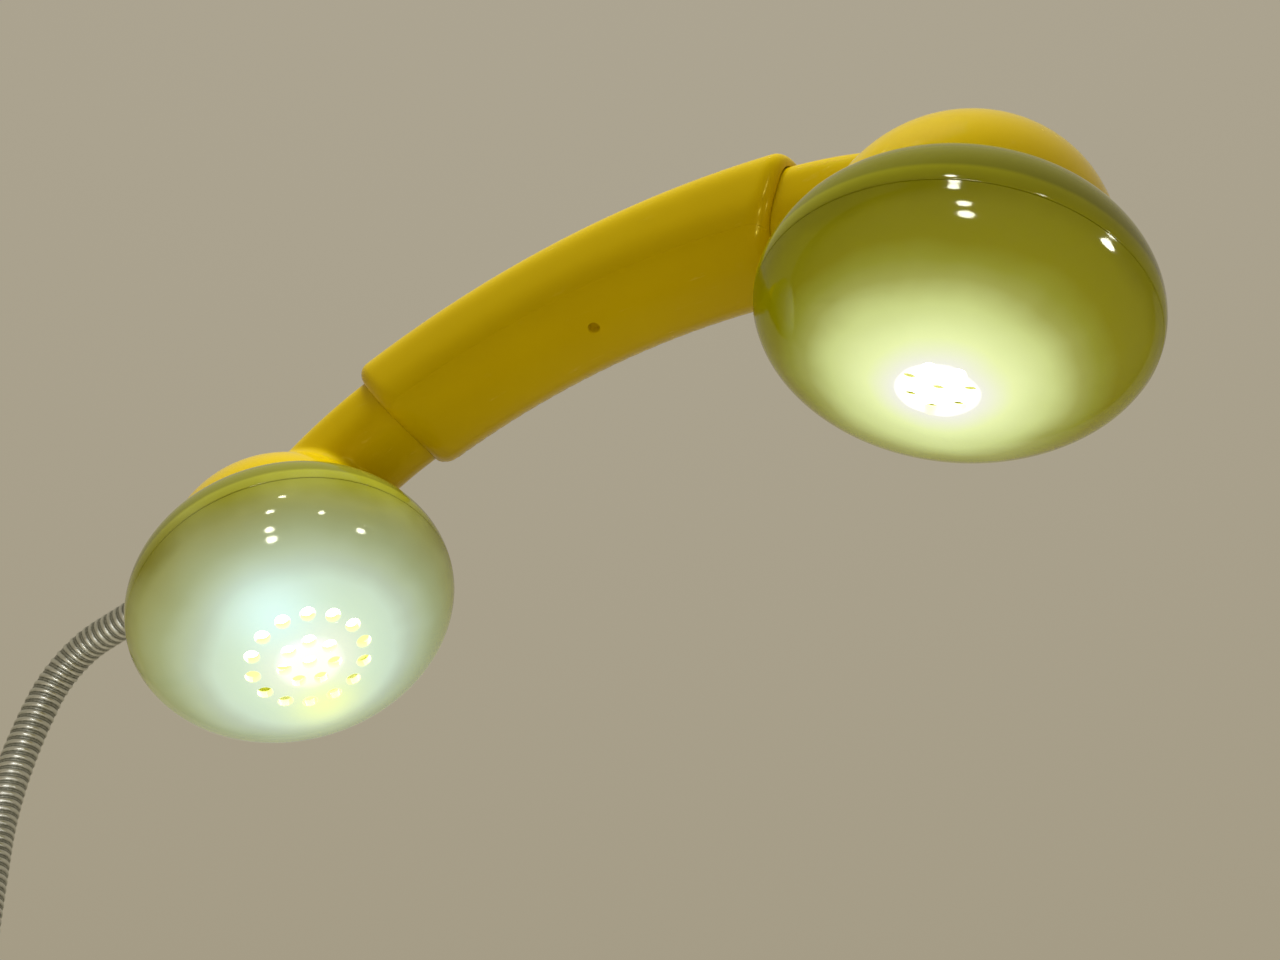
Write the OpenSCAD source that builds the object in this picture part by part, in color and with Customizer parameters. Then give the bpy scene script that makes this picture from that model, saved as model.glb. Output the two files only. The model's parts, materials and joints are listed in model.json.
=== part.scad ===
// Handset-shaped lamp on a bending arm.
// Origin: centre of the arm's foot face. X runs from mouth end to ear end, Z is up.
// Each sub-part is its own module; "node" picks one of them, "all" draws the lot.

/* [Caps] */
// Distance between the centres of the two caps' widest circles.
cap_span = 147; // [120:1:180]
// Widest diameter of each cap.
cap_d = 68; // [56:0.5:84]
// How far the ear dome stands forward of the widest circle.
ear_bulge = 15.2; // [11:0.1:20]
// How far the mouth dome stands forward of the widest circle.
mouth_bulge = 18.8; // [13:0.1:24]
// Depth of the rear curve of both caps, measured behind the widest circle.
back_bulge = 21.4; // [17:0.1:27]
// Inward tilt of the ear cap.
ear_tilt = 19.4; // [12:0.2:26]
// Inward tilt of the mouth cap.
mouth_tilt = 24; // [14:0.2:28]
// Wall of the domes and collars.
cap_wall = 2; // [1.6:0.1:2.8]
// Diameter of the sound holes in both domes.
hole_d = 3; // [2:0.1:3.6]
// Radius of the inner ring of seven holes.
ring_in_r = 5.1; // [4:0.1:6.4]
// Radius of the outer ring of fourteen holes, mouth dome only.
ring_out_r = 11.3; // [9:0.1:14]
// Turn of the ear dome's hole pattern when screwed home.
ear_turn = 6.5; // [0:0.5:50]
// Turn of the mouth dome's hole pattern when screwed home.
mouth_turn = 23.5; // [0:0.5:50]
// Height the dome rises for one full turn of its thread.
thread_pitch = 2.5; // [1.5:0.1:3.5]

/* [Handle] */
// Radius of the round cups behind the caps.
cup_r = 26.3; // [22:0.1:31]
// Distance of the cup centre behind the widest circle of its cap.
cup_back = 14; // [11:0.1:17]
// Wall of the cups and necks.
cup_wall = 2.4; // [1.8:0.1:3.2]
// Height of the handle's centre line above the middle of the caps.
arch_h = 52.6; // [47:0.1:62]
// Length of the thicker grip along its curve.
grip_len = 106; // [86:1:124]
// Width of the grip across its back.
grip_w = 33.5; // [28:0.5:40]
// Height of the grip section.
grip_h = 24.5; // [21.5:0.5:29]
// Wall of the grip.
grip_wall = 2.2; // [1.6:0.1:3]
// Step down from the grip to the necks, on each side.
neck_step = 3.1; // [2.6:0.1:4]
// Height of the separate strip that closes the underside of the grip.
strip_h = 4.6; // [4:0.1:6]

/* [Arm] */
// Outer diameter of the steel arm.
arm_d = 8; // [7:0.1:10]
// Rise of the arm where it leaves the mouth cup.
exit_rise = 13.3; // [6:0.1:18]
// Length of arm between the top bend and the foot bend, straight part.
arm_drop = 88; // [70:1:120]
// Length of the straight part fixed in the foot.
foot_rise = 45; // [36:1:60]
// Radius of the tight bend under the top joint.
crook_r = 17.8; // [15:0.1:26]

/* [Foot] */
// Outside diameter of the threaded foot stub.
stub_d = 10; // [8:0.1:13]
// Length of the threaded foot stub below the foot face.
stub_len = 14; // [10:0.5:20]
// Diameter of the foot face.
foot_d = 20; // [17:0.5:26]
// Height of the foot ferrule.
foot_h = 18; // [14:0.5:24]

/* [Show] */
// Which sub-part to draw, or "all".

/* [Hidden] */
$fn = 72;
eps = 0.02;
fit = 0.08;
cap_a = cap_d / 2;
half_span = cap_span / 2;
arm_r = arm_d / 2;

// Cup centres in the handset frame, x outward and z up.
ear_cx = half_span + cup_back * sin(ear_tilt);
ear_cz = cup_back * cos(ear_tilt);
mouth_cx = half_span + cup_back * sin(mouth_tilt);
mouth_cz = cup_back * cos(mouth_tilt);

// The grip follows one circle; each neck bends down into its cup on a tighter one.
arch_r = cap_span * 1.02;
neck_bend = cap_span * 0.476;
deg_per_mm = 180 / (PI * arch_r);
grip_a = grip_len / 2 * deg_per_mm;
neck_end = 54;
tenon_len = 9;
tenon_a = tenon_len * deg_per_mm;

// Cap stack, measured along the cap axis from its widest circle, forward positive.
seam_z = 2.4;
seam_gap = 0.4;
neck_r = cap_a * 0.838;
neck_top = ear_bulge * 0.36;
back_k = 0.635;
rear_z = -back_bulge * back_k;
rear_r = cap_a * sqrt(1 - back_k * back_k);
spigot_r = rear_r - cup_wall;
spigot_top = rear_z + 8;
shelf_z = rear_z + 2.4;
sink_r = spigot_r - cup_wall - 0.1;
sink_h = 3;
board_z = shelf_z + sink_h;
board_r = sink_r * 0.72;
board_h = 1.6;
chip_s = 3;
chip_h = 0.9;
chip_ring = board_r * 0.42;
lens_r = sink_r * 0.86;
lens_h = 8;

// Grip, strip and what they hold.
wall_a = grip_wall * deg_per_mm;
neck_w = grip_w - 2 * neck_step;
neck_h = grip_h - 2 * neck_step;
hollow_w = grip_w - 2 * grip_wall;
hollow_h = grip_h - 2 * grip_wall;
strip_top = -grip_h / 2 + strip_h;
screw_a = 1.4;
boss_top = -grip_h / 2 + 4.4;
spine_lift = 2.6;
spine_r = 3;
spine_a = grip_a + 4 * deg_per_mm;
cross_a = grip_a - 5 * deg_per_mm;
cross_head = neck_w * 0.41;
drive_z = -grip_h * 0.23;
lead_side = -4.8;
lead_low = -1.5;
pit_r = 1.3;
pit_deep = 1.8;
pit_side = 3.2;

// Driver: its board lies between the mouth housing's tenon and the screw pad, clear of both.
drive_len = 31;
drive_w = 11;
drive_gap = 2.4;
post_x = 13.4;
post_r = 1.7;
choke_x = -8;
choke_r = 3.4;
chip_x = -2.1;
can_x = [2.6, 7.7];
can_r = 2.4;
drive_a = -(grip_len / 2 - tenon_len - drive_gap - drive_len / 2) * deg_per_mm;

// Arm path in the handset frame: h runs outward from the mouth cup centre, z up.
ferrule_out = cup_r + 9.7;
head_a = 10.3;
crook_end = 80;
lean = 107.4;
sweep_top_r = 34.8;
sweep_mid_r = 78;
sweep_low_r = 120;
joint_run = 13;
lean_run = 25;
link_run = 2;
lap = 0.3;
function turn_down(p, r, a, b) = [p[0] + r * (sin(b) - sin(a)), p[1] + r * (cos(b) - cos(a))];
function turn_back(p, r, a, b) = [p[0] - r * (sin(b) - sin(a)), p[1] - r * (cos(b) - cos(a))];
function run_on(p, l, a) = [p[0] + l * cos(a), p[1] - l * sin(a)];
p_top = [ferrule_out * cos(exit_rise), mouth_cz + ferrule_out * sin(exit_rise)];
p_a = turn_down(p_top, sweep_top_r, -exit_rise, head_a);
p_hinge3 = run_on(p_a, joint_run / 2, head_a);
p_b = run_on(p_a, joint_run, head_a);
p_c = turn_down(p_b, crook_r, head_a, crook_end);
p_cc = run_on(p_c, link_run, crook_end);
p_d = turn_down(p_cc, sweep_mid_r, crook_end, lean);
p_hinge2 = run_on(p_d, lean_run / 2, lean);
p_e = run_on(p_d, lean_run, lean);
p_f = turn_back(p_e, sweep_low_r, lean, 90);
p_hinge1 = run_on(p_f, arm_drop, 90);
p_foot = run_on(p_hinge1, foot_rise, 90);

// Where the handset sits above the foot.
hand_x = mouth_cx + p_foot[0];
hand_z = -p_foot[1];

// Bend joint: a hollow ball on the upper tube turns in the mouth of the lower tube.
tube_wall = arm_d * 0.175;
tube_in = arm_r - tube_wall;
ball_r = arm_r * 0.8375;
mouth_r = ball_r + 0.05;
ball_wall = 0.65;
rim_z = 0.6;
tube_start = arm_r * 0.875;
stem_r = arm_r * 0.575;
stem_in = arm_r * 0.375;
lead_r = arm_r * 0.3;
lead_gap = 0.8;
pivot_r = 0.8;

// Foot: the stub has a slimmer shank that sits in the ferrule.
shank_r = stub_d / 2 - 0.8;
shank_h = 6;
stub_bore = stub_d / 2 - 1.6;
face_recess = 0.5;

// Handset pieces are drawn in the handset frame and moved here.
module in_handset() {
  translate([hand_x, 0, hand_z])
    children();
}

// Cap frame: Z points out of the dome. side 1 is the ear end, -1 the mouth end.
module in_cap(side) {
  tilt = side > 0 ? ear_tilt : mouth_tilt;
  in_handset()
    translate([side * half_span, 0, 0])
      rotate([0, 180 + side * tilt, 0])
        children();
}

// Section of the handle: rounded, wide across the back, narrow underneath.
function power(v, n) = sign(v) * pow(abs(v), n);
function section(w, h, base, r) = [
  for (i = [0:35])
    let (
      v = h / 2 * power(sin(i * 10), 0.68),
      k = 1 - base * (h / 2 - v) / h
    )
    [r + v, w / 2 * k * power(cos(i * 10), 0.68)]
];

// Sweep a section about the Y axis from angle a to b, measured from +Z towards +X.
module sweep(r, a, b, w, h, base = 0.34) {
  rotate([90, 0, 0])
    rotate([0, 0, 90 - b])
      rotate_extrude(angle = b - a, $fn = 180)
        polygon(section(w, h, base, r));
}

// The same along the grip's arch, ear side positive.
module arch(a, b, w, h) {
  translate([0, 0, arch_h - arch_r])
    sweep(arch_r, a, b, w, h);
}

// Move to the centre of a neck's own bend.
module at_neck(side) {
  c = arch_r - neck_bend;
  translate([side * c * sin(grip_a), 0, arch_h - arch_r + c * cos(grip_a)])
    children();
}

// Neck from the grip end down into the cup, with a stub that laps into the tenon.
module neck(side, w, h, end_a) {
  if (side > 0)
    at_neck(1)
      sweep(neck_bend, grip_a, end_a, w, h);
  if (side < 0)
    at_neck(-1)
      sweep(neck_bend, -end_a, -grip_a, w, h);
}

// Tenon inside the grip, a hair slimmer than the neck it laps into.
module tenon(side, w, h, back) {
  lap_a = 0.5 * deg_per_mm;
  if (side > 0)
    arch(grip_a - back, grip_a + lap_a, w - 0.06, h - 0.06);
  if (side < 0)
    arch(-grip_a - lap_a, -grip_a + back, w - 0.06, h - 0.06);
}

// Sweep a round bar along the arch, lifted off the centre line and to one side.
module arch_bar(a, b, r, lift = 0, side = 0) {
  translate([0, 0, arch_h - arch_r])
    rotate([90, 0, 0])
      rotate([0, 0, 90 - b])
        rotate_extrude(angle = b - a, $fn = 180)
          translate([arch_r + lift, side])
            circle(r = r, $fn = 36);
}

// Sweep a rectangle of the section plane, used as a cutter.
module arch_slab(a, b, low, high, w) {
  translate([0, 0, arch_h - arch_r])
    rotate([90, 0, 0])
      rotate([0, 0, 90 - b])
        rotate_extrude(angle = b - a, $fn = 180)
          translate([arch_r + low, -w / 2])
            square([high - low, w]);
}

// Point and frame on the arch at an angle; local Z points off the back.
module on_arch(a) {
  translate([0, 0, arch_h - arch_r])
    rotate([0, a, 0])
      translate([0, 0, arch_r])
        children();
}

// Where the strip's screw sits, a little to one side of the middle.
module at_pit() {
  on_arch(screw_a)
    translate([0, -pit_side, 0])
      children();
}

// Straight round rod between two points.
module rod(p, q, r) {
  d = q - p;
  l = norm(d);
  translate(p)
    rotate([0, acos(d[2] / l), atan2(d[1], d[0])])
      cylinder(h = l, r = r, $fn = 24);
}

// Dome curve radius at height z, for outer half-axes a and c.
function bulge_r(z, a, c) = a * sqrt(max(0, 1 - z * z / (c * c)));

// ---- Arm path pieces, in the XZ plane of the handset frame ----

// A bend that turns further down, radius r, from angle a to b.
// It laps a little into the straight pieces at both ends.
module bend_down(p, r, a, b, bar) {
  e = lap / r * 180 / PI;
  translate([-mouth_cx - p[0], 0, p[1]])
    translate([r * sin(a), 0, -r * cos(a)])
      rotate([90, 0, 0])
        rotate([0, 0, 90 + a - e])
          rotate_extrude(angle = b - a + 2 * e)
            translate([r, 0])
              circle(r = bar - eps, $fn = 36);
}

// A bend that turns back towards upright.
module bend_back(p, r, a, b, bar) {
  e = lap / r * 180 / PI;
  translate([-mouth_cx - p[0], 0, p[1]])
    translate([-r * sin(a), 0, r * cos(a)])
      rotate([90, 0, 0])
        rotate([0, 0, b - 90 - e])
          rotate_extrude(angle = a - b + 2 * e)
            translate([r, 0])
              circle(r = bar - eps, $fn = 36);
}

// Local frame on the arm: Z runs up the arm at point p with slope a.
module on_arm(p, a) {
  translate([-mouth_cx - p[0], 0, p[1]])
    rotate([0, 90 - a, 0])
      children();
}

// Straight piece running up the arm from z1 to z2 of a local frame.
module run_bar(p, a, z1, z2, bar) {
  on_arm(p, a)
    translate([0, 0, z1])
      cylinder(h = z2 - z1, r = bar, $fn = 36);
}

module top_path(bar, lo, hi) {
  run_bar(p_hinge3, head_a, lo, joint_run / 2, bar);
  bend_down(p_top, sweep_top_r, -exit_rise, head_a, bar);
  run_bar(p_top, -exit_rise, 0, hi, bar);
}

module mid_path(bar, lo, hi) {
  run_bar(p_hinge2, lean, lo, lean_run / 2, bar);
  bend_down(p_cc, sweep_mid_r, crook_end, lean, bar);
  run_bar(p_cc, crook_end, 0, link_run, bar);
  bend_down(p_b, crook_r, head_a, crook_end, bar);
  run_bar(p_hinge3, head_a, -joint_run / 2, hi, bar);
}

module low_path(bar, lo, hi) {
  run_bar(p_hinge1, 90, lo, arm_drop, bar);
  bend_back(p_e, sweep_low_r, lean, 90, bar);
  run_bar(p_hinge2, lean, -lean_run / 2, hi, bar);
}

module foot_path(bar, lo, hi) {
  run_bar(p_hinge1, 90, lo, hi, bar);
}

// Ball and stem at the lower end of an upper tube, without their bore.
module bend_ball(p, a) {
  on_arm(p, a) {
    intersection() {
      sphere(r = ball_r);
      translate([0, 0, -1])
        cylinder(h = ball_r + 1, r = arm_r);
    }
    cylinder(h = tube_start + 0.5, r = stem_r);
  }
}

// Bore of the ball and stem, and the cross hole along the axis the joint turns about.
module bend_bore(p, a, turn = 0) {
  on_arm(p, a) {
    sphere(r = ball_r - ball_wall);
    cylinder(h = tube_start + 2, r = stem_in);
    rotate([90, 0, turn])
      rotate([0, 0, 35])
        cylinder(h = 3 * ball_r, r = pivot_r, center = true);
  }
}

// Wide mouth at the upper end of a lower tube.
module bend_mouth(p, a) {
  on_arm(p, a)
    translate([0, 0, -ball_r - 0.6])
      cylinder(h = ball_r + 3, r = mouth_r);
}

module arm_top_tube() {
  color("Silver")
    in_handset()
      difference() {
        union() {
          top_path(arm_r, tube_start, 7);
          bend_ball(p_hinge3, head_a);
        }
        top_path(tube_in, tube_start + 1, 8);
        bend_bore(p_hinge3, head_a);
      }
}

module arm_mid_tube() {
  color("Silver")
    in_handset()
      difference() {
        union() {
          mid_path(arm_r, tube_start, rim_z);
          bend_ball(p_hinge2, lean);
        }
        mid_path(tube_in, tube_start + 1, 2);
        bend_mouth(p_hinge3, head_a);
        bend_bore(p_hinge2, lean, 90);
      }
}

module arm_low_tube() {
  color("Silver")
    in_handset()
      difference() {
        union() {
          low_path(arm_r, tube_start, rim_z);
          bend_ball(p_hinge1, 90);
        }
        low_path(tube_in, tube_start + 1, 2);
        bend_mouth(p_hinge2, lean);
        bend_bore(p_hinge1, 90);
      }
}

module arm_foot_tube() {
  color("Silver")
    in_handset()
      difference() {
        foot_path(arm_r, -foot_rise + foot_h - 10, rim_z);
        foot_path(tube_in, -foot_rise, 2);
        bend_mouth(p_hinge1, 90);
      }
}

module arm_top_lead() {
  color("DimGray")
    in_handset() {
      top_path(lead_r, lead_gap, 24);
    }
}

module arm_mid_lead() {
  color("DimGray")
    in_handset()
      mid_path(lead_r, lead_gap, -lead_gap);
}

module arm_low_lead() {
  color("DimGray")
    in_handset()
      low_path(lead_r, lead_gap, -lead_gap);
}

module arm_foot_lead() {
  color("DimGray")
    in_handset()
      foot_path(lead_r, -foot_rise - stub_len - 10, -lead_gap);
}

// ---- Foot ----

module foot_ferrule() {
  color("LightGray")
    difference() {
      rotate_extrude()
        polygon([
          [0, 0],
          [foot_d / 2 - 0.6, 0],
          [foot_d / 2, 0.6],
          [foot_d / 2, 3.4],
          [foot_d / 2 - 0.6, 4],
          [arm_r + 3.4, 4],
          [arm_r + 2.6, 5.4],
          [arm_r + 2.2, foot_h - 1.2],
          [arm_r + 1.4, foot_h],
          [0, foot_h]
        ]);
      translate([0, 0, foot_h - 10])
        cylinder(h = 12, r = arm_r + fit);
      translate([0, 0, -1])
        cylinder(h = 1 + face_recess, r = stub_d / 2 + fit);
      translate([0, 0, -1])
        cylinder(h = shank_h + 2, r = shank_r + fit);
      translate([0, 0, -1])
        cylinder(h = foot_h, r = stub_bore);
    }
}

module foot_stub() {
  color("Goldenrod")
    difference() {
      union() {
        translate([0, 0, -stub_len + 0.8])
          cylinder(h = stub_len - 0.8, r = stub_d / 2);
        translate([0, 0, -0.5])
          cylinder(h = shank_h + 0.5, r = shank_r);
        translate([0, 0, -stub_len])
          cylinder(h = 0.8, r1 = stub_d / 2 - 0.8, r2 = stub_d / 2);
      }
      translate([0, 0, -stub_len - 1])
        cylinder(h = stub_len + 9, r = stub_bore);
    }
}

// Plastic bush that keeps the lead off the edge of the stub.
module foot_bush() {
  color("Black")
    difference() {
      union() {
        translate([0, 0, -stub_len - 1.6])
          cylinder(h = 1.5, r = stub_d / 2 - 0.9);
        translate([0, 0, -stub_len - 0.2])
          cylinder(h = 5, r = stub_bore - fit);
      }
      translate([0, 0, -stub_len - 3])
        cylinder(h = 10, r = lead_r + fit);
    }
}

// ---- Joint of arm and mouth cup; local Z runs from the cup centre out along the arm ----

module on_exit() {
  in_handset()
    translate([-mouth_cx, 0, mouth_cz])
      rotate([0, -90 + exit_rise, 0])
        children();
}

module arm_ferrule() {
  color("LightGray")
    on_exit()
      difference() {
        union() {
          translate([0, 0, cup_r + 1])
            rotate_extrude()
              polygon([
                [0, 0],
                [arm_r + 3.2, 0],
                [arm_r + 3.4, 0.4],
                [arm_r + 3.4, 2.4],
                [arm_r + 2, 3],
                [arm_r + 1.8, 7.9],
                [arm_r + 1.2, 8.7],
                [0, 8.7]
              ]);
          translate([0, 0, cup_r - 8.5])
            cylinder(h = 10, r = arm_r);
        }
        translate([0, 0, ferrule_out - 7 - fit])
          cylinder(h = 12, r = arm_r + fit);
        translate([0, 0, cup_r - 10])
          cylinder(h = 14, r = lead_r + 0.5);
      }
}

module ferrule_nut() {
  color("LightGray")
    on_exit()
      translate([0, 0, cup_r - cup_wall - 5.1])
        difference() {
          cylinder(h = 3, r = arm_r + 3.2, $fn = 6);
          translate([0, 0, -1])
            cylinder(h = 5, r = arm_r + fit);
        }
}

module ferrule_washer() {
  color("DarkGray")
    on_exit()
      translate([0, 0, cup_r - cup_wall - 2])
        difference() {
          cylinder(h = 0.9, r = arm_r + 3.4);
          translate([0, 0, -1])
            cylinder(h = 3, r = arm_r + fit);
        }
}

// ---- Grip ----

module grip_outer() {
  arch(-grip_a + 0.5, grip_a - 0.5, grip_w, grip_h);
  arch(-grip_a + 0.15, grip_a - 0.15, grip_w - 1, grip_h - 1);
  arch(-grip_a, grip_a, grip_w - 2.4, grip_h - 2.4);
}

// One-piece back and sides of the grip with an open underside.
module grip_shell() {
  color("Gold")
    in_handset()
      difference() {
        grip_outer();
        arch(-grip_a + wall_a, grip_a - wall_a, hollow_w, hollow_h);
        arch(-grip_a - 1, grip_a + 1, neck_w + 0.2, neck_h + 0.2);
        arch_slab(-grip_a - 1, grip_a + 1, -grip_h, strip_top, 2 * grip_w);
      }
}

// Underside strip, held by one screw in the middle.
module grip_strip() {
  color("Gold")
    in_handset()
      difference() {
        union() {
          difference() {
            grip_outer();
            arch(-grip_a + wall_a, grip_a - wall_a, hollow_w, hollow_h);
            arch(-grip_a - 1, grip_a + 1, neck_w + 0.2, neck_h + 0.2);
            arch_slab(-grip_a - 1, grip_a + 1, strip_top - 0.1, grip_h, 2 * grip_w);
          }
          at_pit()
            translate([0, 0, -grip_h / 2 + 0.5])
              rotate([0, 0, 35])
                cylinder(h = 3.9, r = 3.5);
        }
        at_pit()
          translate([0, 0, -grip_h])
            rotate([0, 0, 35])
              cylinder(h = grip_h, r = pit_r);
      }
}

// Headless socket screw, sunk in the strip and threaded into the spine's pad.
module grip_screw() {
  color("DarkGray")
    in_handset()
      at_pit()
        difference() {
          translate([0, 0, -grip_h / 2 + pit_deep])
            cylinder(h = grip_h / 2 - pit_deep - 1.6, r = pit_r - 0.05);
          translate([0, 0, -grip_h / 2])
            cylinder(h = pit_deep + 1.4, r = 0.75, $fn = 6);
        }
}

// Bent steel bar joining both housings, with a threaded pad for the strip screw.
module spine() {
  color("Silver")
    in_handset()
      difference() {
        union() {
          arch_bar(-spine_a, spine_a, spine_r, spine_lift);
          at_pit()
            translate([0, 0, boss_top + 0.05])
              cylinder(h = spine_lift - boss_top - 0.05, r = 3.4);
        }
        at_pit()
          translate([0, 0, boss_top - 1])
            cylinder(h = -boss_top, r = pit_r);
        for (s = [-1, 1])
          on_arch(s * cross_a)
            translate([0, 0, spine_lift])
              rotate([90, 0, 0])
                cylinder(h = 20, r = 1.3, center = true);
      }
}

// Two cross screws through tenon and spine.
module spine_screws() {
  color("DarkGray")
    in_handset()
      for (s = [-1, 1])
        on_arch(s * cross_a)
          translate([0, 0, spine_lift])
            rotate([90, 0, 0]) {
              translate([0, 0, -cross_head - 0.3])
                cylinder(h = 2 * cross_head + 0.3, r = 1.2);
              translate([0, 0, cross_head])
                cylinder(h = 1, r = 2.2);
            }
}

// ---- Housings: round cup, neck and tenon in one piece ----

// Solid outside of a housing in the handset frame.
module housing_outer(side, cx, cz) {
  translate([side * cx, 0, cz])
    sphere(r = cup_r, $fn = 96);
  neck(side, neck_w, neck_h, neck_end);
  tenon(side, neck_w, neck_h, tenon_a);
}

// Everything cut away inside a housing in the handset frame.
module housing_inner(side, cx, cz) {
  nw = neck_w - 2 * cup_wall;
  nh = neck_h - 2 * cup_wall;
  translate([side * cx, 0, cz])
    sphere(r = cup_r - cup_wall, $fn = 96);
  neck(side, nw, nh, neck_end - 1);
  tenon(side, nw, nh, tenon_a + 1);
  on_arch(side * cross_a)
    translate([0, 0, spine_lift])
      rotate([90, 0, 0])
        cylinder(h = 40, r = 1.3, center = true);
  on_arch(side * cross_a)
    translate([0, 0, spine_lift])
      rotate([90, 0, 0])
        translate([0, 0, cross_head - 0.05])
          cylinder(h = 20, r = 2.4);
}

// Front of a housing in the cap frame: cut plane, spigot and shelf.
module cup_front_cut() {
  translate([0, 0, rear_z])
    cylinder(h = 80, r = 60);
}

module cup_spigot() {
  difference() {
    union() {
      translate([0, 0, rear_z - 1.4])
        cylinder(h = spigot_top - rear_z + 1.4, r = spigot_r);
      translate([0, 0, rear_z - 2.6])
        cylinder(h = 2.5, r = rear_r - 0.8);
    }
    translate([0, 0, rear_z - 4])
      cylinder(h = 6 + shelf_z - rear_z, r = sink_r - 3.4);
    translate([0, 0, shelf_z])
      cylinder(h = 20, r = sink_r + 0.1);
    lens_bolts(1.25);
  }
}

module lens_bolts(r) {
  for (i = [0:2])
    rotate([0, 0, i * 120 + 30])
      translate([sink_r - 1.9, 0, shelf_z - 1.9])
        cylinder(h = 20, r = r, $fn = 24);
}

module ear_housing() {
  color("Gold")
    union() {
      difference() {
        in_handset()
          housing_outer(1, ear_cx, ear_cz);
        in_handset()
          housing_inner(1, ear_cx, ear_cz);
        in_cap(1)
          cup_front_cut();
      }
      in_cap(1)
        cup_spigot();
    }
}

module mouth_housing() {
  color("Gold")
    union() {
      difference() {
        union() {
          in_handset()
            housing_outer(-1, mouth_cx, mouth_cz);
          on_exit()
            translate([0, 0, cup_r - 4])
              cylinder(h = 4.9, r = arm_r + 5);
        }
        in_handset()
          housing_inner(-1, mouth_cx, mouth_cz);
        on_exit()
          translate([0, 0, cup_r - 14])
            cylinder(h = 20, r = arm_r + fit);
        on_exit()
          translate([0, 0, cup_r - 14])
            cylinder(h = 14 - cup_wall - 1, r = arm_r + 4);
        in_cap(-1)
          cup_front_cut();
      }
      in_cap(-1)
        cup_spigot();
    }
}

// ---- Caps ----

// Collar behind the seam: outer shell, web and threaded neck.
module collar(bulge) {
  a2 = cap_a - cap_wall;
  b2 = back_bulge - cap_wall;
  ring_z = rear_z + 2;
  rotate_extrude()
    polygon(concat(
      [[spigot_r + fit, rear_z + 0.1]],
      [for (i = [0:14])
        let (z = rear_z + 0.1 - (rear_z + 0.1) * i / 14)
        [bulge_r(z, cap_a, back_bulge), z]],
      [for (i = [1:3])
        let (z = seam_z * i / 3)
        [bulge_r(z, cap_a, bulge), z]],
      [
        [neck_r + 1.9, seam_z],
        [neck_r + 1.9, seam_z - 1.4],
        [neck_r, seam_z - 1.4],
        [neck_r, neck_top],
        [neck_r - 2, neck_top],
        [neck_r - 2, -1]
      ],
      [for (i = [0:8])
        let (z = -1 + (ring_z + 1) * i / 8)
        [bulge_r(z, a2, b2), z]],
      [[spigot_r + fit, ring_z]]
    ));
}

module ear_collar() {
  color("Olive")
    in_cap(1)
      collar(ear_bulge);
}

module mouth_collar() {
  color("Olive")
    in_cap(-1)
      collar(mouth_bulge);
}

// Rubber ring between collar and dome.
module gasket() {
  difference() {
    translate([0, 0, seam_z - 1.1])
      cylinder(h = 1.1, r = neck_r + 1.82);
    translate([0, 0, seam_z - 2])
      cylinder(h = 4, r = neck_r + 0.08);
  }
}

module ear_gasket() {
  color("Black")
    in_cap(1)
      gasket();
}

module mouth_gasket() {
  color("Black")
    in_cap(-1)
      gasket();
}

// Screw-on dome with sound holes.
module dome(bulge, rings, turn) {
  a2 = cap_a - cap_wall;
  b2 = bulge - cap_wall;
  z0 = seam_z + seam_gap;
  bore = neck_r + 0.05;
  z1 = b2 * sqrt(1 - bore * bore / (a2 * a2));
  t0 = asin(z0 / bulge);
  t1 = asin(z1 / b2);
  difference() {
    rotate_extrude()
      polygon(concat(
        [[bore, z0]],
        [for (i = [0:22])
          let (t = t0 + (90 - t0) * i / 22)
          [i == 22 ? 0 : cap_a * cos(t), bulge * sin(t)]],
        [for (i = [0:18])
          let (t = 90 - (90 - t1) * i / 18)
          [i == 0 ? 0 : a2 * cos(t), b2 * sin(t)]]
      ));
    cylinder(h = bulge + 2, r = hole_d / 2, $fn = 32);
    for (i = [0:6])
      rotate([0, 0, turn + i * 360 / 7])
        translate([ring_in_r, 0, 0])
          cylinder(h = bulge + 2, r = hole_d / 2, $fn = 32);
    if (rings > 1)
      for (i = [0:13])
        rotate([0, 0, turn + i * 360 / 14])
          translate([ring_out_r, 0, 0])
            cylinder(h = bulge + 2, r = hole_d / 2, $fn = 32);
  }
}

module ear_dome() {
  color("YellowGreen")
    in_cap(1)
      dome(ear_bulge, 1, ear_turn);
}

module mouth_dome() {
  color("YellowGreen")
    in_cap(-1)
      dome(mouth_bulge, 2, mouth_turn);
}

// ---- Lamp units, in the cap frame ----

// Round aluminium plate with straight fins behind it.
module heatsink() {
  difference() {
    union() {
      translate([0, 0, shelf_z + 0.02])
        cylinder(h = sink_h - 0.04, r = sink_r);
      intersection() {
        for (i = [-2:2])
          translate([-30, i * 6 - 0.8, shelf_z - 6])
            cube([60, 1.6, 6.5]);
        translate([0, 0, shelf_z - 7])
          cylinder(h = 8, r = sink_r - 4.2);
      }
    }
    lens_bolts(1.3);
    for (y = [-1, 1])
      translate([0, y * board_r * 0.8, shelf_z - 8])
        cylinder(h = 14, r = 1, $fn = 24);
  }
}

module ear_heatsink() {
  color("Silver")
    in_cap(1)
      heatsink();
}

module mouth_heatsink() {
  color("Silver")
    in_cap(-1)
      heatsink();
}

module led_board() {
  difference() {
    translate([0, 0, board_z])
      cylinder(h = board_h, r = board_r);
    for (y = [-1, 1])
      translate([0, y * board_r * 0.8, board_z - 1])
        cylinder(h = 6, r = 1, $fn = 24);
    for (x = [-1, 1])
      translate([x * board_r, 0, board_z - 1])
        cylinder(h = 6, r = 1.3, $fn = 24);
  }
}

module ear_board() {
  color("White")
    in_cap(1)
      led_board();
}

module mouth_board() {
  color("White")
    in_cap(-1)
      led_board();
}

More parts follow.
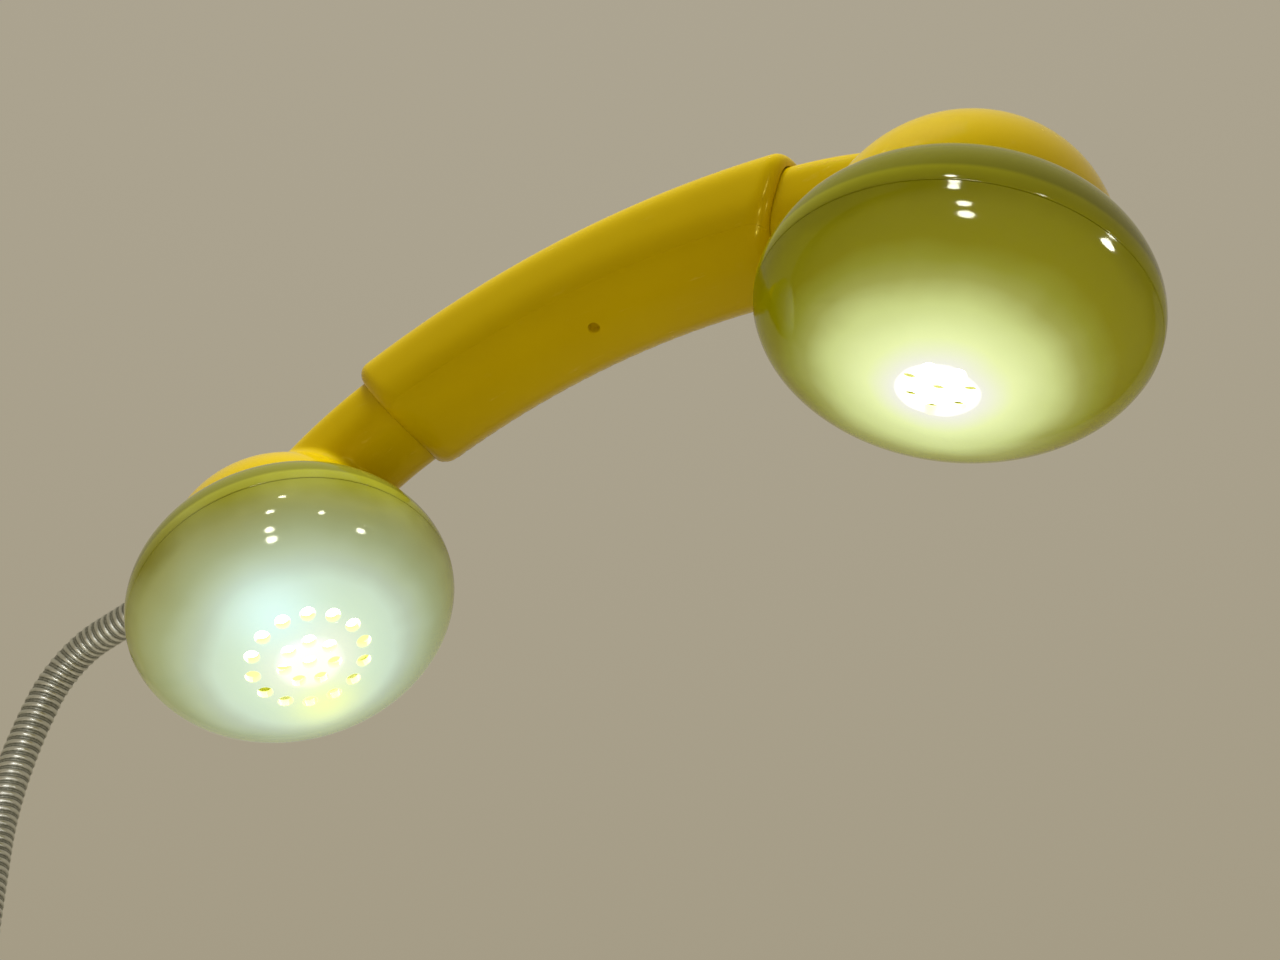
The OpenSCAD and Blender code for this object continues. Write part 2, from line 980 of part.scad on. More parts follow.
module chip_set() {
  for (i = [0:6])
    rotate([0, 0, i * 60])
      translate([i == 6 ? 0 : chip_ring, 0, board_z + board_h + chip_h / 2])
        cube([chip_s, chip_s, chip_h], center = true);
}

module led_chips() {
  color("LightYellow") {
    in_cap(1)
      chip_set();
    in_cap(-1)
      chip_set();
  }
}

// Clear cover over the chips with a flat screwed rim.
module lens() {
  z0 = board_z;
  difference() {
    rotate_extrude()
      polygon(concat(
        [
          [board_r + 0.3, z0 + 0.02],
          [sink_r - 0.2, z0 + 0.02],
          [sink_r - 0.2, z0 + 1.6]
        ],
        [for (i = [0:10])
          let (t = i * 9)
          [i == 10 ? 0 : lens_r * 0.9 * cos(t), z0 + 1.6 + lens_h * sin(t)]],
        [for (i = [0:10])
          let (t = 90 - i * 9)
          [i == 0 ? 0 : (lens_r * 0.9 - 1.4) * cos(t), z0 + 1.6 + (lens_h - 1.4) * sin(t)]],
        [[board_r + 0.3, z0 + 1.6]]
      ));
    lens_bolts(1.3);
  }
}

module ear_lens() {
  color("WhiteSmoke")
    in_cap(1)
      lens();
}

module mouth_lens() {
  color("WhiteSmoke")
    in_cap(-1)
      lens();
}

module lens_screw_set() {
  for (i = [0:2])
    rotate([0, 0, i * 120 + 30])
      translate([sink_r - 1.9, 0, board_z]) {
        translate([0, 0, -sink_h - 1.7])
          cylinder(h = sink_h + 3.32, r = 1.15, $fn = 24);
        translate([0, 0, 1.62])
          cylinder(h = 1.2, r = 1.75, $fn = 24);
      }
}

module lens_screws() {
  color("DarkGray") {
    in_cap(1)
      lens_screw_set();
    in_cap(-1)
      lens_screw_set();
  }
}

// ---- Driver in the grip, hung under its board on two posts ----

module driver_board() {
  color("DarkGreen")
    in_handset()
      on_arch(drive_a)
        translate([-drive_len / 2, -drive_w / 2, drive_z])
          cube([drive_len, drive_w, 1.2]);
}

module driver_choke() {
  color("SaddleBrown")
    in_handset()
      on_arch(drive_a)
        translate([choke_x, 0, drive_z - 3.05])
          cylinder(h = 3, r = choke_r);
}

module driver_chip() {
  color("DimGray")
    in_handset()
      on_arch(drive_a)
        translate([chip_x, 0, drive_z - 0.85])
          cube([4, 4, 1.6], center = true);
}

module driver_caps() {
  color("SteelBlue")
    in_handset()
      on_arch(drive_a)
        for (x = can_x)
          translate([x, 0, drive_z - 2.75])
            cylinder(h = 2.7, r = can_r);
}

// Two nylon posts between board and strip.
module driver_posts() {
  color("Ivory")
    in_handset()
      on_arch(drive_a)
        for (s = [-1, 1])
          translate([s * post_x, 0, -hollow_h / 2 - 0.3])
            cylinder(h = drive_z + hollow_h / 2 + 0.25, r = post_r);
}

// ---- Leads inside the handset ----

// Lead along the arch and the neck bend, then straight to the back of the lamp unit.
module lead(side, start_a, cx, cz) {
  r = neck_bend + lead_low;
  turn_a = 36;
  c = arch_r - neck_bend;
  nx = side * (c * sin(grip_a) + sin(turn_a) * r);
  nz = arch_h - arch_r + c * cos(grip_a) + cos(turn_a) * r;
  p = [nx, -lead_side, nz];
  q = [side * cx, -lead_side, cz + 8];
  if (side > 0)
    arch_bar(start_a, grip_a + 0.1, 1.08, lead_low, lead_side);
  if (side < 0)
    arch_bar(-grip_a - 0.1, -start_a, 1.08, lead_low, lead_side);
  at_neck(side)
    rotate([90, 0, 0])
      rotate([0, 0, side > 0 ? 90 - turn_a : 90 + grip_a])
        rotate_extrude(angle = turn_a - grip_a, $fn = 180)
          translate([r, lead_side])
            circle(r = 1.1, $fn = 36);
  translate(p)
    sphere(r = 1.14, $fn = 24);
  rod(p, q, 1.1);
}

module ear_lead() {
  color("Red")
    in_handset()
      lead(1, -2 * deg_per_mm, ear_cx, ear_cz);
}

module mouth_lead() {
  color("Red")
    in_handset()
      lead(-1, grip_a - 3 * deg_per_mm, mouth_cx, mouth_cz);
}

// ---- Draw ----
foot_ferrule();
foot_stub();
foot_bush();
arm_foot_tube();
arm_low_tube();
arm_mid_tube();
arm_top_tube();
arm_foot_lead();
arm_low_lead();
arm_mid_lead();
arm_top_lead();
arm_ferrule();
ferrule_nut();
ferrule_washer();
grip_shell();
grip_strip();
grip_screw();
spine();
spine_screws();
ear_housing();
mouth_housing();
ear_collar();
mouth_collar();
ear_gasket();
mouth_gasket();
ear_dome();
mouth_dome();
ear_heatsink();
mouth_heatsink();
ear_board();
mouth_board();
led_chips();
ear_lens();
mouth_lens();
lens_screws();
driver_board();
driver_choke();
driver_chip();
driver_caps();
driver_posts();
ear_lead();
mouth_lead();
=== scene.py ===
import json
import math
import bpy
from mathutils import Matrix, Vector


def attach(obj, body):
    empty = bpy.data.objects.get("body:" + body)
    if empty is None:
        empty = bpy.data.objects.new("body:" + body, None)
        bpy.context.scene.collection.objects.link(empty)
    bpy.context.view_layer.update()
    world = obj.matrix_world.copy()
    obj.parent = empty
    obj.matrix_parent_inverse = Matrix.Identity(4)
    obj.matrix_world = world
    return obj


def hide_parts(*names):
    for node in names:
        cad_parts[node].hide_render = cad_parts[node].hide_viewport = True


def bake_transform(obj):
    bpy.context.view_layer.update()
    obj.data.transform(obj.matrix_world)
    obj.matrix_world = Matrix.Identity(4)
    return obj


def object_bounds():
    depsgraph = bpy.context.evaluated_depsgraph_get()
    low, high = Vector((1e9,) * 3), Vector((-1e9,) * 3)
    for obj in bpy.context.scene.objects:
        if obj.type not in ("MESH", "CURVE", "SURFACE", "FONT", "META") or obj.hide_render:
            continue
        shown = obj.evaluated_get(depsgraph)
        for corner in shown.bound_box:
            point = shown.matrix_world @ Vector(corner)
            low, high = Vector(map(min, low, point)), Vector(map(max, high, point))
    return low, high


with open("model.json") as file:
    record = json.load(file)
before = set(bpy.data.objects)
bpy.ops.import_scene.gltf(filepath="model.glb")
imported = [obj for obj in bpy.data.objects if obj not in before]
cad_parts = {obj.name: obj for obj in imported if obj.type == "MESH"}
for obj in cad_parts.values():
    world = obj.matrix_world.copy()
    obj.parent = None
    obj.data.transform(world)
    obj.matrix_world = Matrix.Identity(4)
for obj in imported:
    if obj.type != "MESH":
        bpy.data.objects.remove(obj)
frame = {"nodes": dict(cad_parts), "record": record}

from types import SimpleNamespace

import bmesh
import bpy
import numpy as np
from bpy.props import FloatProperty, FloatVectorProperty, PointerProperty
from bpy.types import Operator, Panel, PropertyGroup
from mathutils import Matrix, Vector
from mathutils.geometry import delaunay_2d_cdt

bl_info = {
    "name": "Handset lamp",
    "version": (1, 0, 0),
    "blender": (4, 5, 0),
    "location": "3D Viewport > Sidebar > Lamp",
    "description": "Builds the visible pieces of a handset-shaped lamp round its CAD frame",
    "category": "Add Mesh",
}

MM = 0.001
TURN = 2 * math.pi
# Where the strip's screw sits: angle along the grip's arch, and metres to one side of its middle.
SCREW_AT, SCREW_Y = math.radians(1.4), -3.2 * MM
# Handle outline: the power that squares it up, and how much narrower its underside is.
SQUARENESS, NARROWING = 0.68, 0.34
# Where the collars end behind the widest circle, as a share of their rear curve's depth.
REAR_SHARE = 0.635
CAD_BOUNDS = [list(corner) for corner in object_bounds()]


# ---- Sizes and colours ----

def hex_rgb(code):
    """Linear RGB of an sRGB hex colour."""
    c = np.array([int(code[i:i + 2], 16) for i in (0, 2, 4)]) / 255
    return tuple(np.where(c <= 0.04045, c / 12.92, ((c + 0.055) / 1.055) ** 2.4).tolist())


def length(name, text, mm):
    """A length property, given in millimetres and kept in metres."""
    return FloatProperty(name=name, description=text, default=mm * MM, min=0, unit="LENGTH", precision=5)


def angle(name, text, degrees):
    """An angle property, given in degrees and kept in radians."""
    return FloatProperty(name=name, description=text, default=math.radians(degrees), subtype="ANGLE")


def colour(name, text, code):
    """A colour property, given as sRGB hex."""
    return FloatVectorProperty(name=name, description=text, default=hex_rgb(code), size=3,
                               subtype="COLOR", min=0, max=1)


class LampCapSizes(PropertyGroup):
    span: length("Span", "Distance between the middles of the two caps", 147)
    width: length("Width", "Widest diameter of each cap", 68)
    ear_bulge: length("Ear bulge", "Height of the ear dome over its widest circle", 15.2)
    mouth_bulge: length("Mouth bulge", "Height of the mouth dome over its widest circle", 18.8)
    back_bulge: length("Back bulge", "Depth of the collars' rear curve", 21.4)
    ear_tilt: angle("Ear tilt", "Inward tilt of the ear cap", 19.4)
    mouth_tilt: angle("Mouth tilt", "Inward tilt of the mouth cap", 24)
    wall: length("Wall", "Wall of domes and collars", 2)
    hole: length("Hole", "Diameter of the sound holes", 3)
    ring_in: length("Inner ring", "Radius of the ring of seven holes", 5.1)
    ring_out: length("Outer ring", "Radius of the ring of fourteen holes", 11.3)
    ear_turn: angle("Ear turn", "Turn of the ear dome's holes", 6.5)
    mouth_turn: angle("Mouth turn", "Turn of the mouth dome's holes", 23.5)


class LampHandleSizes(PropertyGroup):
    cup: length("Cup radius", "Radius of the round cups", 26.3)
    cup_back: length("Cup setback", "Cup centre behind the cap's widest circle", 14)
    wall: length("Cup wall", "Wall of cups and necks", 2.4)
    arch_h: length("Arch height", "Height of the handle over the caps' middles", 52.6)
    grip_len: length("Grip length", "Length of the grip along its curve", 106)
    grip_w: length("Grip width", "Width across the back of the grip", 33.5)
    grip_h: length("Grip height", "Height of the grip section", 24.5)
    grip_wall: length("Grip wall", "Wall of the grip", 2.2)
    step: length("Neck step", "Step down from grip to neck", 3.1)
    strip: length("Strip height", "Height of the underside strip", 4.6)
    lip: length("Lip radius", "Rounding of the grip's ends", 2.85)
    lip_extra: length("Lower lip", "Extra length of that rounding at the underside", 3)
    lip_back: length("Lip setback", "How far the grip's ends draw back at the underside", 4.2)
    pit: length("Pit radius", "Radius of the screw hole in the strip", 1.15)
    pit_deep: length("Pit depth", "How far the screw sits below the strip's surface", 1.8)
    fillet: length("Fillet", "Softening where neck meets cup", 2.2)


class LampArmSizes(PropertyGroup):
    width: length("Arm width", "Outer diameter of the armour", 8)
    exit_rise: angle("Exit rise", "Rise of the arm where it leaves the cup", 13.3)
    drop: length("Drop", "Straight length below the upper bends", 88)
    foot_rise: length("Foot rise", "Straight length fixed in the foot", 45)
    crook: length("Crook radius", "Radius of the tight upper bend", 17.8)
    pitch: length("Rib pitch", "Distance from one turn of the armour to the next", 2)
    groove: length("Groove depth", "Depth of the groove between turns", 0.5)
    stub_d: length("Stub diameter", "Outside of the foot thread", 10)
    stub_len: length("Stub length", "Length of the foot thread", 14)
    foot_d: length("Foot diameter", "Diameter of the foot face", 20)
    foot_h: length("Foot height", "Height of the foot ferrule", 18)


class LampLook(PropertyGroup):
    yellow: colour("Yellow", "Moulded handle plastic", "D0B400")
    olive: colour("Ear cap", "Ear cap plastic away from its light", "9E9E00")
    pale_olive: colour("Mouth cap", "Mouth cap plastic away from its light", "ACAE34")
    inner: colour("Inner glow", "Light on the inner skins and the walls of the holes", "ECEBA8")
    cool: colour("Cool glow", "Bluish scatter beside the mouth holes", "C4ECF8")
    warm: colour("Warm glow", "Yellowish scatter beside the mouth holes", "E4F2B4")
    # Painted shade in the grooves between the armour's turns.
    steel: colour("Armour", "Nickel-plated armour wire", "D6D8D2")
    groove_shade: colour("Groove", "Darkened groove between turns", "77796F")
    backdrop: colour("Backdrop", "Pale warm studio surroundings", "ADA592")
    glow_gain: FloatProperty(name="Glow", description="Strength of the caps' inner light", default=1.0, min=0)
    key_watts: FloatProperty(name="Key", description="Watts of the large soft light", default=13, min=0)


def sizes():
    """All property groups and the values that follow from them, in metres and radians."""
    s = bpy.context.scene
    c, h, a = s.lamp_caps, s.lamp_handle, s.lamp_arm
    g = SimpleNamespace(c=c, h=h, a=a, look=s.lamp_look)
    g.half = c.span / 2
    g.cap_r = c.width / 2
    g.arch_r = c.span * 1.02
    g.neck_bend = c.span * 0.476
    g.grip_a = h.grip_len / 2 / g.arch_r
    g.neck_w = h.grip_w - 2 * h.step
    g.neck_h = h.grip_h - 2 * h.step
    g.rear_z = -c.back_bulge * REAR_SHARE
    g.rear_r = g.cap_r * math.sqrt(1 - REAR_SHARE ** 2)
    g.spigot_r = g.rear_r - h.wall
    g.seam_z = 2.4 * MM
    g.seam_gap = 0.1 * MM
    g.neck_r = g.cap_r * 0.838
    g.neck_top = c.ear_bulge * 0.36
    g.arm_r = a.width / 2
    g.ferrule_out = h.cup + 9.7 * MM
    g.mouth_cup = (g.half + h.cup_back * math.sin(c.mouth_tilt), h.cup_back * math.cos(c.mouth_tilt))
    g.ear_cup = (g.half + h.cup_back * math.sin(c.ear_tilt), h.cup_back * math.cos(c.ear_tilt))
    g.bends = arm_bends(g)
    path = arm_path(g, np.array([0.0, g.bends[-1][0]]))
    g.hand = -path[0][-1]
    return g


# ---- Mesh tools ----

def quads(rows, cols, start=0, wrap_rows=False, wrap_cols=False):
    """Faces of a grid of points numbered row by row; wrap joins the last row or column to the first."""
    i = np.arange(rows if wrap_rows else rows - 1)[:, None]
    j = np.arange(cols if wrap_cols else cols - 1)[None, :]
    i2, j2 = (i + 1) % rows, (j + 1) % cols
    f = np.stack(np.broadcast_arrays(i * cols + j, i * cols + j2, i2 * cols + j2, i2 * cols + j), -1)
    return f.reshape(-1, 4) + start


def volume(points, faces):
    """Signed volume inside a closed set of faces, each split into a fan of triangles."""
    total = 0.0
    for f in faces:
        for k in range(1, f.shape[1] - 1):
            a, b, c = points[f[:, 0]], points[f[:, k]], points[f[:, k + 1]]
            total += float(np.einsum("ij,ij->", a, np.cross(b, c)))
    return total / 6


def build(name, points, faces, materials, weld=True, sharp=38, face_material=None):
    """Mesh object from arrays of points and faces, turned outwards; edges over the sharp angle stay sharp."""
    points = np.asarray(points, float).reshape(-1, 3)
    faces = [np.asarray(f, int) for f in faces if len(f)]
    if volume(points - points.mean(0), faces) < 0:
        faces = [f[:, ::-1] for f in faces]
    mesh = bpy.data.meshes.new(name)
    sizes_ = np.concatenate([np.full(len(f), f.shape[1]) for f in faces])
    loops = np.concatenate([f.ravel() for f in faces])
    mesh.vertices.add(len(points))
    mesh.vertices.foreach_set("co", points.ravel())
    mesh.loops.add(len(loops))
    mesh.loops.foreach_set("vertex_index", loops)
    mesh.polygons.add(len(sizes_))
    mesh.polygons.foreach_set("loop_start", np.concatenate([[0], np.cumsum(sizes_)[:-1]]))
    if face_material is not None:
        mesh.polygons.foreach_set("material_index", np.asarray(face_material, np.int32))
    mesh.update(calc_edges=True)
    if weld:
        bm = bmesh.new()
        bm.from_mesh(mesh)
        bmesh.ops.remove_doubles(bm, verts=bm.verts, dist=2e-7)
        bmesh.ops.dissolve_degenerate(bm, edges=bm.edges, dist=2e-7)
        bm.to_mesh(mesh)
        bm.free()
    mesh.validate()
    mesh.shade_smooth()
    mesh.set_sharp_from_angle(angle=math.radians(sharp))
    for m in materials:
        mesh.materials.append(m)
    obj = bpy.data.objects.new(name, mesh)
    bpy.context.scene.collection.objects.link(obj)
    return obj


def turned(name, profile, around, place, material, ripple=None, closed=True, sharp=38):
    """Lathe work: profile rows (r, z) carried round the Z axis in equal steps, then put in place.

    ripple(r, z, angle) may move the radius, for knurls, flutes and threads."""
    profile = np.asarray(profile, float)
    t = np.arange(around) / around * TURN
    r = np.repeat(profile[:, :1], around, 1)
    z = np.repeat(profile[:, 1:2], around, 1)
    if ripple is not None:
        r = ripple(r, z, t[None, :])
    p = np.stack([r * np.cos(t), r * np.sin(t), z], -1)
    faces = quads(len(profile), around, wrap_rows=closed, wrap_cols=True)
    return build(name, place(p.reshape(-1, 3)), [faces], [material], sharp=sharp)


def rounded(points, radius, steps=4):
    """Closed outline with rounded corners: each becomes a curve that leaves and meets its two edges."""
    p = np.asarray(points, float)
    before, after = np.roll(p, 1, 0) - p, np.roll(p, -1, 0) - p
    lb, la = np.linalg.norm(before, axis=1), np.linalg.norm(after, axis=1)
    r = np.minimum(np.minimum(lb, la) * 0.45, radius)[:, None, None]
    t = np.linspace(0, 1, steps + 1)[None, :, None]
    start = p[:, None] + (before / lb[:, None])[:, None] * r
    end = p[:, None] + (after / la[:, None])[:, None] * r
    return (start * (1 - t) ** 2 + p[:, None] * 2 * t * (1 - t) + end * t ** 2).reshape(-1, 2)


def finish(obj, bevel=0.0, steps=2, wall=0.0):
    """Add a wall inwards and soft edges, and make both part of the mesh."""
    if wall:
        m = obj.modifiers.new("wall", "SOLIDIFY")
        m.thickness, m.offset = wall, -1
    if bevel:
        m = obj.modifiers.new("soft edges", "BEVEL")
        m.width, m.segments, m.limit_method, m.angle_limit = bevel, steps, "ANGLE", math.radians(40)
        m.harden_normals = False
    graph = bpy.context.evaluated_depsgraph_get()
    done = bpy.data.meshes.new_from_object(obj.evaluated_get(graph), depsgraph=graph)
    obj.modifiers.clear()
    done.name = obj.data.name
    obj.data = done
    done.shade_smooth()
    done.set_sharp_from_angle(angle=math.radians(38))
    return obj


def keep_number(obj, name, values):
    """Store one number a point on the mesh, for its material to read."""
    layer = obj.data.attributes.new(name, "FLOAT", "POINT")
    layer.data.foreach_set("value", np.asarray(values, np.float32))


def points_of(obj):
    co = np.empty(len(obj.data.vertices) * 3)
    obj.data.vertices.foreach_get("co", co)
    return co.reshape(-1, 3)


# ---- Places ----

def hand_place(g):
    """From the handset's own frame to the row frame."""
    return lambda p: np.asarray(p) + g.hand


def cap_axes(g, side):
    """Axes of a cap as rows x, y, z; z points out of the dome."""
    turn = math.pi + side * (g.c.ear_tilt if side > 0 else g.c.mouth_tilt)
    c, s = math.cos(turn), math.sin(turn)
    return np.array([[c, 0, -s], [0, 1, 0], [s, 0, c]])


def cap_place(g, side):
    """From a cap's frame, Z out of its dome, to the row frame."""
    axes = cap_axes(g, side)
    return lambda p: np.asarray(p) @ axes + [side * g.half, 0, 0] + g.hand


def exit_place(g):
    """From the arm exit's frame, Z out along the arm from the mouth cup's centre, to the row frame."""
    s, c = math.sin(g.a.exit_rise), math.cos(g.a.exit_rise)
    axes = np.array([[s, 0, c], [0, 1, 0], [-c, 0, s]])
    centre = g.hand + [-g.mouth_cup[0], 0, g.mouth_cup[1]]
    return lambda p: np.asarray(p) @ axes + centre


# ---- Materials ----

def connect(tree, node, inputs):
    """Set or link a node's sockets by name or number; a node given as a value means its first output."""
    for key, value in inputs.items():
        if isinstance(value, bpy.types.Node):
            value = value.outputs[0]
        if isinstance(value, bpy.types.NodeSocket):
            tree.links.new(value, node.inputs[key])
        else:
            node.inputs[key].default_value = value


def add_node(tree, kind, inputs=(), **settings):
    """Add a node with its settings, values and links."""
    node = tree.nodes.new("ShaderNode" + kind)
    for key, value in settings.items():
        setattr(node, key, value)
    connect(tree, node, dict(inputs))
    return node


def new_material(name):
    """A material holding only its output and one Principled shader."""
    m = bpy.data.materials.new(name)
    m.use_nodes = True
    m.node_tree.nodes.clear()
    shader = add_node(m.node_tree, "BsdfPrincipled")
    add_node(m.node_tree, "OutputMaterial", {"Surface": shader})
    return m, m.node_tree, shader


def rgba(c):
    return (*c, 1.0)


def blended(tree, share, first, second):
    """Colour that goes from the first to the second with the share; each is linear RGB or a node's socket."""
    first, second = (c if isinstance(c, bpy.types.NodeSocket) else rgba(c) for c in (first, second))
    return add_node(tree, "Mix", {0: share, 6: first, 7: second}, data_type="RGBA").outputs[2]


def abs_yellow(look):
    """Moulded ABS from a polished tool: clean gloss, faint flow waviness, scuffs and hairline scratches."""
    m, t, s = new_material("moulded_abs_yellow")
    where = add_node(t, "TexCoord").outputs["Object"]
    # Scuffs: patches about 9 mm across that hold short scratches about 0.3 mm wide.
    patch = add_node(t, "TexNoise", {"Vector": where, "Scale": 110, "Detail": 4, "Roughness": 0.6})
    patch = add_node(t, "MapRange", {0: patch, 1: 0.52, 2: 0.72})
    streak = add_node(t, "Mapping", {"Vector": where, "Scale": (0.12, 1, 0.6)})
    streak = add_node(t, "TexNoise", {"Vector": streak, "Scale": 900, "Detail": 2})
    streak = add_node(t, "MapRange", {0: streak, 1: 0.62, 2: 0.7})
    worn = add_node(t, "Math", {0: patch, 1: streak}, operation="MULTIPLY")
    # Flow tone about 26 mm across, and waviness about 17 mm across that bends the reflections a little.
    tone = add_node(t, "TexNoise", {"Vector": where, "Scale": 38, "Detail": 3})
    tone = add_node(t, "MapRange", {0: tone, 1: 0.3, 2: 0.7, 4: 0.5})
    base = blended(t, tone, look.yellow, hex_rgb("C8AA00"))
    faded = add_node(t, "Math", {0: worn, 1: 0.35}, operation="MULTIPLY")
    base = blended(t, faded, base, hex_rgb("E4CB5A"))
    wave = add_node(t, "TexNoise", {"Vector": where, "Scale": 60, "Detail": 1, "Roughness": 0.3})
    connect(t, s, {"Base Color": base, "IOR": 1.54, "Specular Tint": (1, 0.85, 0.12, 1),
                   "Specular IOR Level": 0.22,
                   "Roughness": add_node(t, "MapRange", {0: worn, 3: 0.17, 4: 0.42}),
                   "Normal": add_node(t, "Bump", {"Height": wave, "Distance": 0.25 * MM, "Strength": 0.5})})
    return m


def cap_green(look, name, base, stops, core, burn):
    """Moulded polycarbonate, tinted and milky: glossy skin, light from inside spreads through the wall.

    The light falls off with the distance from the cap's axis, as shares of its radius: stops holds its linear
    colour at each share, core is the share inside which the lamp unit burns it out, burn times brighter."""
    m, t, s = new_material(name)
    reach = add_node(t, "Attribute", attribute_name="reach").outputs["Fac"]
    where = add_node(t, "TexCoord").outputs["Object"]
    # Cloudy moulding: the edge of the light wanders by about a millimetre over 14 mm.
    cloud = add_node(t, "TexNoise", {"Vector": where, "Scale": 70, "Detail": 2})
    cloud = add_node(t, "MapRange", {0: cloud, 1: 0.3, 2: 0.7, 3: -0.02, 4: 0.02})
    reach = add_node(t, "Math", {0: reach, 1: cloud}, operation="ADD")
    lit = add_node(t, "ValToRGB", {"Fac": reach})
    ramp = lit.color_ramp
    ramp.elements[0].position, ramp.elements[0].color = 0.0, rgba(stops[0][1])
    ramp.elements[1].position, ramp.elements[1].color = stops[-1][0], rgba(stops[-1][1])
    for share, c in stops[:-1]:
        ramp.elements.new(share).color = rgba(c)
    light = lit.outputs[0]
    for share, c in (("cool", look.cool), ("warm", look.warm), ("inside", look.inner)):
        share = add_node(t, "Attribute", attribute_name=share).outputs["Fac"]
        light = blended(t, share, light, c)
    # Towards the widest circle and behind it less inner light reaches the wall, so the plastic looks deeper.
    behind = add_node(t, "MapRange", {0: reach, 1: 0.93, 2: 1.12})
    base = blended(t, behind, base, [v * 0.5 for v in base])
    gain = look.glow_gain
    burn = add_node(t, "MapRange", {0: reach, 1: core - 0.03, 2: core + 0.03, 3: burn * gain, 4: gain})
    wave = add_node(t, "TexNoise", {"Vector": where, "Scale": 45, "Detail": 1, "Roughness": 0.3})
    connect(t, s, {"Base Color": base, "Roughness": 0.07, "IOR": 1.58, "Specular Tint": (1, 1, 0.8, 1),
                   "Specular IOR Level": 0.3,
                   "Emission Color": light, "Emission Strength": burn,
                   "Normal": add_node(t, "Bump", {"Height": wave, "Distance": 0.2 * MM, "Strength": 0.35})})
    return m


def wound_steel(look):
    """Nickel-plated steel wire, wound: bright rounded turns, with duller grooves between them darkened by
    painted shade.
    """
    m, t, s = new_material("wound_nickel_steel")
    groove = add_node(t, "Attribute", attribute_name="groove").outputs["Fac"]
    where = add_node(t, "TexCoord").outputs["Object"]
    # Drawing marks and specks about 0.4 mm long.
    speck = add_node(t, "TexNoise", {"Vector": where, "Scale": 1800, "Detail": 3, "Roughness": 0.6})
    shade = add_node(t, "MapRange", {0: speck, 1: 0.3, 2: 0.7, 3: -0.08, 4: 0.12})
    # Painted shade: the deeper the groove, the darker and duller the steel, with the specks' own tone added on
    # top.
    shade = add_node(t, "Math", {0: groove, 1: shade}, operation="ADD")
    dark = add_node(t, "MapRange", {0: shade, 1: 0.1, 2: 0.75})
    base = blended(t, dark, look.steel, look.groove_shade)
    connect(t, s, {"Base Color": base, "Metallic": 1.0,
                   "Roughness": add_node(t, "MapRange", {0: shade, 1: 0.1, 2: 0.9, 3: 0.32, 4: 0.62}),
                   "Normal": add_node(t, "Bump", {"Height": speck, "Distance": 0.02 * MM, "Strength": 0.5})})
    return m


def plain_finish(name, code, roughness, per_metre, depth, metallic=0.0, stretch=(1, 1, 1), lit=None):
    """A surface with one fine grain or cut: tone, gloss and relief follow one noise, drawn out along the cut.

    per_metre is the grain's count a metre, depth its relief in millimetres, lit its own glow's colour and
    strength."""
    m, t, s = new_material(name)
    where = add_node(t, "Mapping", {"Vector": add_node(t, "TexCoord").outputs["Object"], "Scale": stretch})
    grain = add_node(t, "TexNoise", {"Vector": where, "Scale": per_metre, "Detail": 3, "Roughness": 0.6})
    share = add_node(t, "MapRange", {0: grain, 1: 0.3, 2: 0.7, 4: 0.35})
    base = blended(t, share, hex_rgb(code), [v * 0.72 for v in hex_rgb(code)])
    rough = {0: grain, 1: 0.3, 2: 0.7, 3: roughness * 0.85, 4: roughness * 1.2}
    connect(t, s, {"Base Color": base, "Metallic": metallic, "Roughness": add_node(t, "MapRange", rough),
                   "Normal": add_node(t, "Bump", {"Height": grain, "Distance": depth * MM, "Strength": 0.5})})
    if lit:
        connect(t, s, {"Emission Color": rgba(hex_rgb(lit[0])), "Emission Strength": lit[1]})
    return m


# Light through the caps' walls: share of the cap's radius from its axis, and linear colour there.
EAR_LIGHT = ((0.20, (0.71, 0.73, 0.77)), (0.35, (0.64, 0.75, 0.42)), (0.53, (0.41, 0.50, 0.24)),
             (0.66, (0.15, 0.18, 0.07)), (0.74, (0.07, 0.09, 0.02)), (0.82, (0.02, 0.02, 0)),
             (0.97, (0, 0, 0)))
MOUTH_LIGHT = ((0.20, (0.66, 0.75, 0.72)), (0.41, (0.44, 0.62, 0.58)), (0.53, (0.39, 0.55, 0.55)),
               (0.62, (0.27, 0.38, 0.40)), (0.71, (0.22, 0.31, 0.29)), (0.81, (0.13, 0.19, 0.17)),
               (0.94, (0.07, 0.09, 0.07)), (1.0, (0, 0, 0)))


